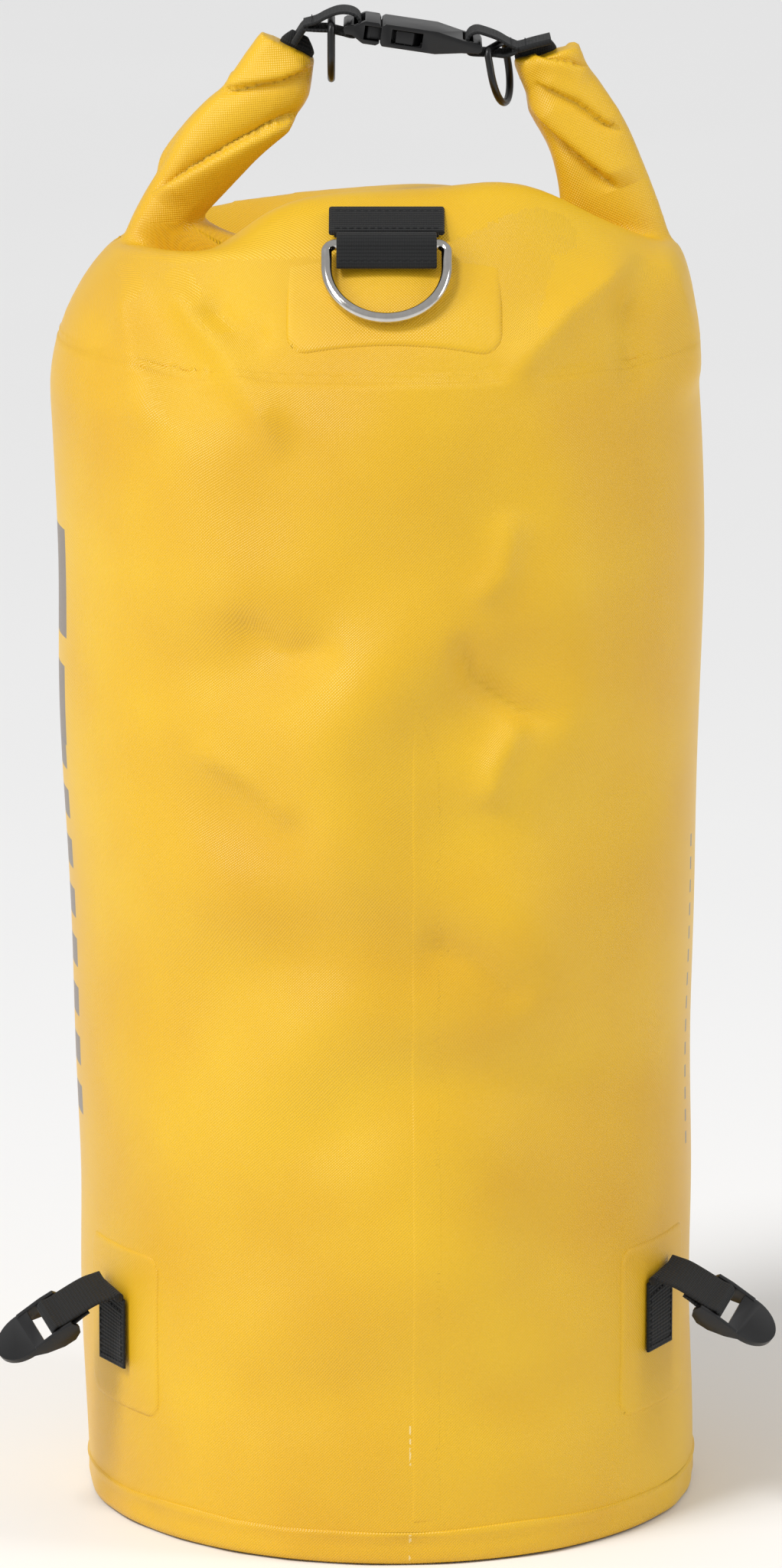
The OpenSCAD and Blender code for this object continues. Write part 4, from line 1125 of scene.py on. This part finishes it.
def strap_piece(name, path, side, width, thick, body, nodes=(), count=60):
    """A strap along a smooth path, replacing the CAD solids named."""
    made = sweep(name, curve_through(path, count), side, strap_outline(width, thick))
    made.data.materials.append(black_webbing)
    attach(made, body)
    if nodes:
        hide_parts(*nodes)
    return made


pocket_path = in_yz([(11, -3.6), (7.5, -1.0), (4.5, 2.6), (1.5, 4.0), (-2.2, 3.7), (-5, 1.9),
                     (-8, 0.2), (-10.6, -0.9), (-11.9, -2.0), (-10.8, -3.2), (-6, -3.9), (0, -4.4),
                     (6, -4.7), (12, -5.0)])
strap_piece("d_ring_pocket_web", pocket_path, (1, 0, 0), 45.8, 1.5, "bag", ("d_ring_pocket",), 90)
flap_path = in_yz([(8.2, -0.6), (12, -1.6), (17, -2.4), (22, -3.3), (27.5, -4.6)])
strap_piece("d_ring_flap_web", flap_path, (1, 0, 0), 53, 2.6, "bag", ("d_ring_flap",), 40)
under_path = in_yz([(8, -2.6), (14, -3.6), (21, -4.9), (27, -6.4)])
strap_piece("d_ring_under_web", under_path, (1, 0, 0), 48, 1.6, "bag", (), 30)
tab_rows = []
for a, b in ((10.4, 0.35), (24.6, -2.5), (-10.2, 0.25)):
    half = 22.5 if a > 0 else 21
    y, z = bar + a * up + b * out
    tab_rows.append([(D_X - half + i, y, z) for i in range(0, int(2 * half) + 1, 3)])
sew("d_ring_stitches", tab_rows, "bag")
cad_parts["d_ring"].data.materials.clear()
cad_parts["d_ring"].data.materials.append(nickel_plate)

# %% [markdown]
# ## Hardware from the frame
# The buckle halves, prongs and ladder locks are true to size in the frame, but their edges are
# mathematically sharp. A moulded part has a small radius on every edge, and that thin line of light
# is what makes it look real. A welded copy is cleaned to flat faces and then bevelled.

# %% Bevelled hardware
BEVEL_FROM = math.radians(28)  # edges sharper than this get a radius


def moulded_copy(node, body, width, segments=2):
    """A welded, bevelled copy of a frame node, riding on its body."""
    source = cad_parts[node]
    made = bpy.data.objects.new(node + "_moulding", source.data.copy())
    bpy.context.scene.collection.objects.link(made)
    shell = bmesh.new()
    shell.from_mesh(made.data)
    bmesh.ops.remove_doubles(shell, verts=shell.verts, dist=2e-6)
    bmesh.ops.dissolve_limit(shell, angle_limit=math.radians(1.5), verts=shell.verts, edges=shell.edges)
    shell.to_mesh(made.data)
    shell.free()
    made.data.materials.clear()
    made.data.materials.append(black_acetal)
    apply_modifier(made, "BEVEL", width=width * MM, segments=segments, limit_method="ANGLE",
                   angle_limit=BEVEL_FROM, use_clamp_overlap=True, harden_normals=False)
    made.data.shade_smooth()
    made.data.set_sharp_from_angle(angle=math.radians(40))
    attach(made, body)
    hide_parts(node)
    print(made.name, len(made.data.polygons), "faces")
    return made


moulded_copy("plug_body", "left_link", 0.55)
moulded_copy("socket_body", "right_link", 0.6)
moulded_copy("front_prong", "front_prong_arm", 0.7, segments=3)
moulded_copy("rear_prong", "rear_prong_arm", 0.7, segments=3)
moulded_copy("left_lock", "left_ladder_lock", 0.45)
moulded_copy("right_lock", "right_ladder_lock", 0.45)

# %% [markdown]
# ## Accessory rings
# Each hanging ring is a small D of round moulded rod: a straight bar held in the webbing and a round
# bow below it. It is one closed sweep of a circle.

# %% Rings
RING_ROD = 1.75  # radius of the rod
RING_DROP = 26.8  # from the bar to the lowest point of the bow
RING_CORNER = 3.0


def ring_path(half):
    """Down and across pairs of a D: bar on top, straight sides, bow below."""
    corner = RING_CORNER
    bow = RING_DROP - half
    path = [(0.0, y) for y in np.linspace(-half + corner, half - corner, 12)]
    path += [(corner - corner * math.cos(t), half - corner + corner * math.sin(t))
             for t in np.radians(np.linspace(15, 90, 6))]
    path += [(d, half) for d in np.linspace(corner + 1, bow, 5)[1:]]
    path += [(bow + half * math.sin(t), half * math.cos(t)) for t in np.radians(np.linspace(4, 176, 44))]
    path += [(d, -half) for d in np.linspace(bow, corner + 1, 5)[:-1]]
    path += [(corner - corner * math.cos(t), -half + corner - corner * math.sin(t))
             for t in np.radians(np.linspace(90, 15, 6))]
    return path


def hang_ring(name, node, body, centre, half, turn, lean):
    """A D of half width half, its bar centred at centre, turned and leaned by degrees."""
    place = (Matrix.Translation(centre) @ Matrix.Rotation(math.radians(turn), 4, "Z")
             @ Matrix.Rotation(math.radians(lean), 4, "Y"))
    path = [tuple(place @ Vector((0, y, -d))) for d, y in ring_path(half)]
    side = tuple(place.to_3x3() @ Vector((1, 0, 0)))
    made = sweep(name, path, side, round_outline(RING_ROD, 14), closed=True)
    made.data.materials.append(black_acetal)
    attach(made, body)
    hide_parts(node)


hang_ring("left_ring_rod", "left_ring", "left_accessory_ring", (-27.75, 0, 703.66), 15.3, 0, 0)
hang_ring("right_ring_rod", "right_ring", "right_accessory_ring", (48.71, 0, 692.24), 16.6, -14.5, -10)

# %% [markdown]
# ## Closure webbing
# The strap leaves the rolled mouth, carries the accessory ring in a gap between its two layers, and
# turns round the bar of the buckle half. It is swept across the buckle's tilted frame.

# %% Closure webbing
WEB_WIDTH, WEB_THICK = 25, 1.4
# The buckle's own frame: the way along it, the way up out of it, and its mouth.
tilt = math.radians(8.5)
along_u = np.array([math.cos(tilt), 0, -math.sin(tilt)])
along_w = np.array([math.sin(tilt), 0, math.cos(tilt)])
mouth = np.array([-4.69, 0, 699.61])


def in_buckle(pairs):
    """Points in the buckle's middle plane from (along it, above it) pairs."""
    return [tuple(mouth + u * along_u + w * along_w) for u, w in pairs]


left_loop = [(-36, -2.2), (-30.4, 0.3), (-26.4, 3.2), (-22, 5.8), (-18, 6.9), (-14, 6.7),
             (-11.3, 5.2), (-10.2, 2.6), (-10.2, -0.6), (-11.4, -3.2), (-13.5, -3.7), (-17.5, -3.3),
             (-21, -3.0), (-23.4, -2.6), (-29, -3.2), (-36, -3.8)]
right_loop = [(63.9, 2.0), (59.4, 3.2), (53.9, 5.3), (47.5, 6.6), (43.9, 6.8), (41.3, 5.2),
              (40.2, 2.6), (40.2, -0.6), (41.4, -3.2), (43.5, -3.7), (47.5, -3.3), (50.9, -2.9),
              (53.9, -2.6), (58.9, -2.2), (63.9, 0.5)]
strap_piece("left_loop_web", in_buckle(left_loop), (0, 1, 0), WEB_WIDTH, WEB_THICK, "left_link",
            ("left_webbing",), 110)
strap_piece("right_loop_web", in_buckle(right_loop), (0, 1, 0), WEB_WIDTH, WEB_THICK, "right_link",
            ("right_webbing",), 110)
left_tail = [(-33.5, -2.7), (-35.5, -3.6), (-37.3, -7.2), (-39.15, -11.38)]
right_tail = [(61.5, 0.7), (66, 2.2), (71, 4.5), (78.63, 7.67)]
strap_piece("left_tail_web", in_buckle(left_tail), (0, 1, 0), 24, 2 * WEB_THICK, "left_link", (), 30)
strap_piece("right_tail_web", in_buckle(right_tail), (0, 1, 0), 24, 2 * WEB_THICK, "right_link", (), 30)


def rows_across(pairs):
    """A row of stitches across the strap at each (along, above) pair."""
    return [[point + np.array([0, y, 0]) for y in range(-10, 11, 2)] for point in in_buckle(pairs)]


sew("left_loop_stitches", rows_across([(-32.6, 0.6), (-30.8, -4.1)]), "left_link")
sew("right_loop_stitches", rows_across([(60.6, 3.7), (67.2, 4.5)]), "right_link")

# %% [markdown]
# ## Mouth bands
# Inside each tip the stiffening tape of the mouth ends in folded black webbing, which bulges out of
# the rolled layers where the strap is sewn to it.

# %% Mouth bands


def mouth_band(name, node, body, tip, direction, across, shift, width):
    """A folded stub of webbing in the open tip: a doubled tape that bows out towards the strap."""
    tip, direction, across = (np.array(v, float) for v in (tip, direction, across))
    base = tip - 11 * direction + shift * across
    rise = np.linspace(0, 16.5, 34)
    narrow = np.clip((rise - 11) / 5.5, 0, 1) ** 1.3
    path = base + rise[:, None] * direction - shift * 0.5 * narrow[:, None] * across
    outlines = np.array([strap_outline(width * (1 - 0.5 * n), 7.5 * (1 - 0.55 * n), 12) for n in narrow])
    made = sweep(name, path, across, outlines)
    made.data.materials.append(black_webbing)
    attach(made, body)
    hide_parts(node)
    return made


mouth_band("left_band_web", "left_mouth_band", "left_arm", (-46.0, 0, 693.6), (0.45, 0, 0.893),
           (0.893, 0, -0.45), 3.0, 17)
mouth_band("right_band_web", "right_mouth_band", "right_arm", (71.5, 0, 690.6), (-0.23, 0, 0.973),
           (0.973, 0, 0.23), -4.5, 20)
print("mouth bands set")

# %% [markdown]
# ## Side anchors
# A short strip of webbing is sewn flat on each side patch. Above it the strap turns over a slanted
# fold, stands away from the wall and goes round the bar of a ladder lock.

# %% Anchors
# Where each strap folds, and the way the wall looks there, as the frame has them.
anchor = {"left": dict(side=-1, fold=(-133.60, -72.92, 114.0), normal=(-0.871, -0.491)),
          "right": dict(side=1, fold=(128.80, -72.86, 122.0), normal=(0.879, -0.477))}
STRAP_LONG = 30.0  # from the fold to the lock's bar
LOOP_RADIUS = 2.95  # of the webbing round that bar
STRIP_LOW, STRIP_HIGH = -37, -1.6  # the sewn strip's ends, from the fold
LEAN = 10  # degrees that the fold slants


def turned(degrees, axis):
    """A turn about one axis, as a matrix."""
    return Matrix.Rotation(math.radians(degrees), 4, axis)


for name, a in anchor.items():
    normal = Vector((a["normal"][0], a["normal"][1], 0)).normalized()
    turn = math.degrees(math.atan2(normal.y, normal.x)) + 90
    on_wall = Matrix.Translation(Vector(a["fold"])) @ turned(turn, "Z")
    flip = Matrix.Scale(-1, 4, (1, 0, 0)) if a["side"] < 0 else Matrix.Identity(4)
    fold = on_wall @ flip @ turned(-LEAN, "Y") @ turned(120, "X") @ turned(90, "X") @ turned(180, "Y")
    strap = fold @ turned(LEAN, "Z")
    across = (strap.to_3x3() @ Vector((1, 0, 0))).normalized()

    far = STRAP_LONG
    path = [(-0.6, 1.4), (2.5, 2.1), (far * 0.3, 3.3), (far * 0.65, 3.0), (far - 4, 2.4)]
    path += [(far + LOOP_RADIUS * math.cos(t), LOOP_RADIUS * math.sin(t))
             for t in (math.radians(degrees) for degrees in range(110, -121, -20))]
    path += [(far - 5, -1.0), (far * 0.6, 0.7), (far * 0.45, 1.3)]
    strap_piece(name + "_anchor_strap", [tuple(strap @ Vector((0, y, z))) for y, z in path],
                tuple(across), WEB_WIDTH, WEB_THICK, name + "_strap", (name + "_flap",), 120)
    fold_axis = (fold.to_3x3() @ Vector((1, 0, 0))).normalized()
    bead = [np.array(a["fold"]) + t * np.array(fold_axis) for t in np.linspace(-12.3, 12.3, 24)]
    roll = sweep(name + "_fold_roll", bead, tuple(normal), round_outline(2.15, 18))
    roll.data.materials.append(black_webbing)
    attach(roll, name + "_strap")
    flat = on_wall.to_3x3() @ Vector((1, 0, 0))
    slant = math.tan(math.radians(LEAN)) * a["side"]
    base_point = np.array(a["fold"]) - 2.5 * np.array([normal.x, normal.y, 0])
    heights = np.linspace(STRIP_LOW, STRIP_HIGH, 34)
    made = sweep(name + "_anchor_strip", [base_point + np.array([0, 0, h]) for h in heights],
                 tuple(flat), strap_outline(WEB_WIDTH, 1.5))
    co = np.array([v.co for v in made.data.vertices], float) / MM
    local_x = (co - base_point) @ np.array(flat)
    rise = np.clip((co[:, 2] - base_point[2] - STRIP_LOW) / (STRIP_HIGH - STRIP_LOW), 0, 1)
    co[:, 2] += slant * local_x * rise
    made.data.vertices.foreach_set("co", (co * MM).ravel())
    made.data.materials.append(black_webbing)
    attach(made, "bag")
    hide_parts(name + "_strip")
    face = base_point + np.array([normal.x, normal.y, 0]) * 0.95
    corner_x, low_z, high_z = 10.2, -34.4, -8.0
    box = [(-corner_x, low_z), (corner_x, low_z), (corner_x, high_z + slant * corner_x),
           (-corner_x, high_z - slant * corner_x), (-corner_x, low_z)]
    ring = []
    for (x0, z0), (x1, z1) in zip(box, box[1:]):
        for f in np.linspace(0, 1, 8)[:-1]:
            ring.append(face + np.array(flat) * (x0 + f * (x1 - x0)) + np.array([0, 0, z0 + f * (z1 - z0)]))
    ring.append(ring[0])
    sew(name + "_anchor_stitches", [ring], "bag", 3.0, 2.2, 0.6)
print("anchors sewn")

# %% [markdown]
# ## Floor and light
# The object stands on a plain pale floor. A tall soft lamp on each side gives the coated cloth its
# long highlights, a wide-angled sun from the front left gives one soft shadow, and a bright even
# surround fills the rest.

# %% Floor and lights
floor_data = bpy.data.meshes.new("floor")
FLOOR_REACH = 9.0  # metres each way
corners = [(x * FLOOR_REACH, y * FLOOR_REACH, 0) for x, y in ((-1, -1), (1, -1), (1, 1), (-1, 1))]
floor_data.from_pydata(corners, [], [(0, 1, 2, 3)])
floor = bpy.data.objects.new("floor", floor_data)
floor.location.z = -0.0005
bpy.context.scene.collection.objects.link(floor)
pale, pale_tree = new_material("pale_studio_floor")
place = add(pale_tree, "ShaderNodeTexCoord").outputs["Object"]
dust = add(pale_tree, "ShaderNodeTexNoise", {"Scale": 2.0}, {"Vector": place})
pale_colour = add(pale_tree, "ShaderNodeMix",
                  {"data_type": "RGBA", 6: linear("#f4f4f4"), 7: linear("#f7f7f7")}, {0: dust})
floor_finish = add(pale_tree, "ShaderNodeBsdfPrincipled", {"Roughness": 0.7},
                   {"Base Color": pale_colour.outputs[2]})
add(pale_tree, "ShaderNodeOutputMaterial", {}, {"Surface": floor_finish})
floor_data.materials.append(pale)


def lamp(name, location, aim, size, power):
    """A soft rectangular lamp looking at a point; metres and watts."""
    data = bpy.data.lights.new(name, "AREA")
    data.shape, data.size, data.size_y, data.energy = "RECTANGLE", size[0], size[1], power
    made = bpy.data.objects.new(name, data)
    made.location = location
    made.rotation_euler = (Vector(aim) - Vector(location)).to_track_quat("-Z", "Y").to_euler()
    bpy.context.scene.collection.objects.link(made)


lamp("left_bank", (-1.5, -1.0, 1.5), (0, 0, 0.35), (0.45, 1.2), 13)
lamp("right_bank", (1.7, -0.5, 1.3), (0, 0, 0.35), (0.4, 1.3), 9)
sun_data = bpy.data.lights.new("soft_sun", "SUN")
sun_data.energy, sun_data.angle = 1.45, math.radians(16)
sun = bpy.data.objects.new("soft_sun", sun_data)
sun.rotation_euler = (Vector((0.62, 0.62, -1.15))).to_track_quat("-Z", "Y").to_euler()
bpy.context.scene.collection.objects.link(sun)
world = bpy.data.worlds.new("studio")
world.use_nodes = True
world.node_tree.nodes["Background"].inputs["Color"].default_value = linear("#ffffff")
world.node_tree.nodes["Background"].inputs["Strength"].default_value = 0.5
bpy.context.scene.world = world
print("studio lit")

# %% [markdown]
# ## Finish
# The view layer is updated once more, so every piece stands where it was placed.

# %% Finish
bpy.context.view_layer.update()
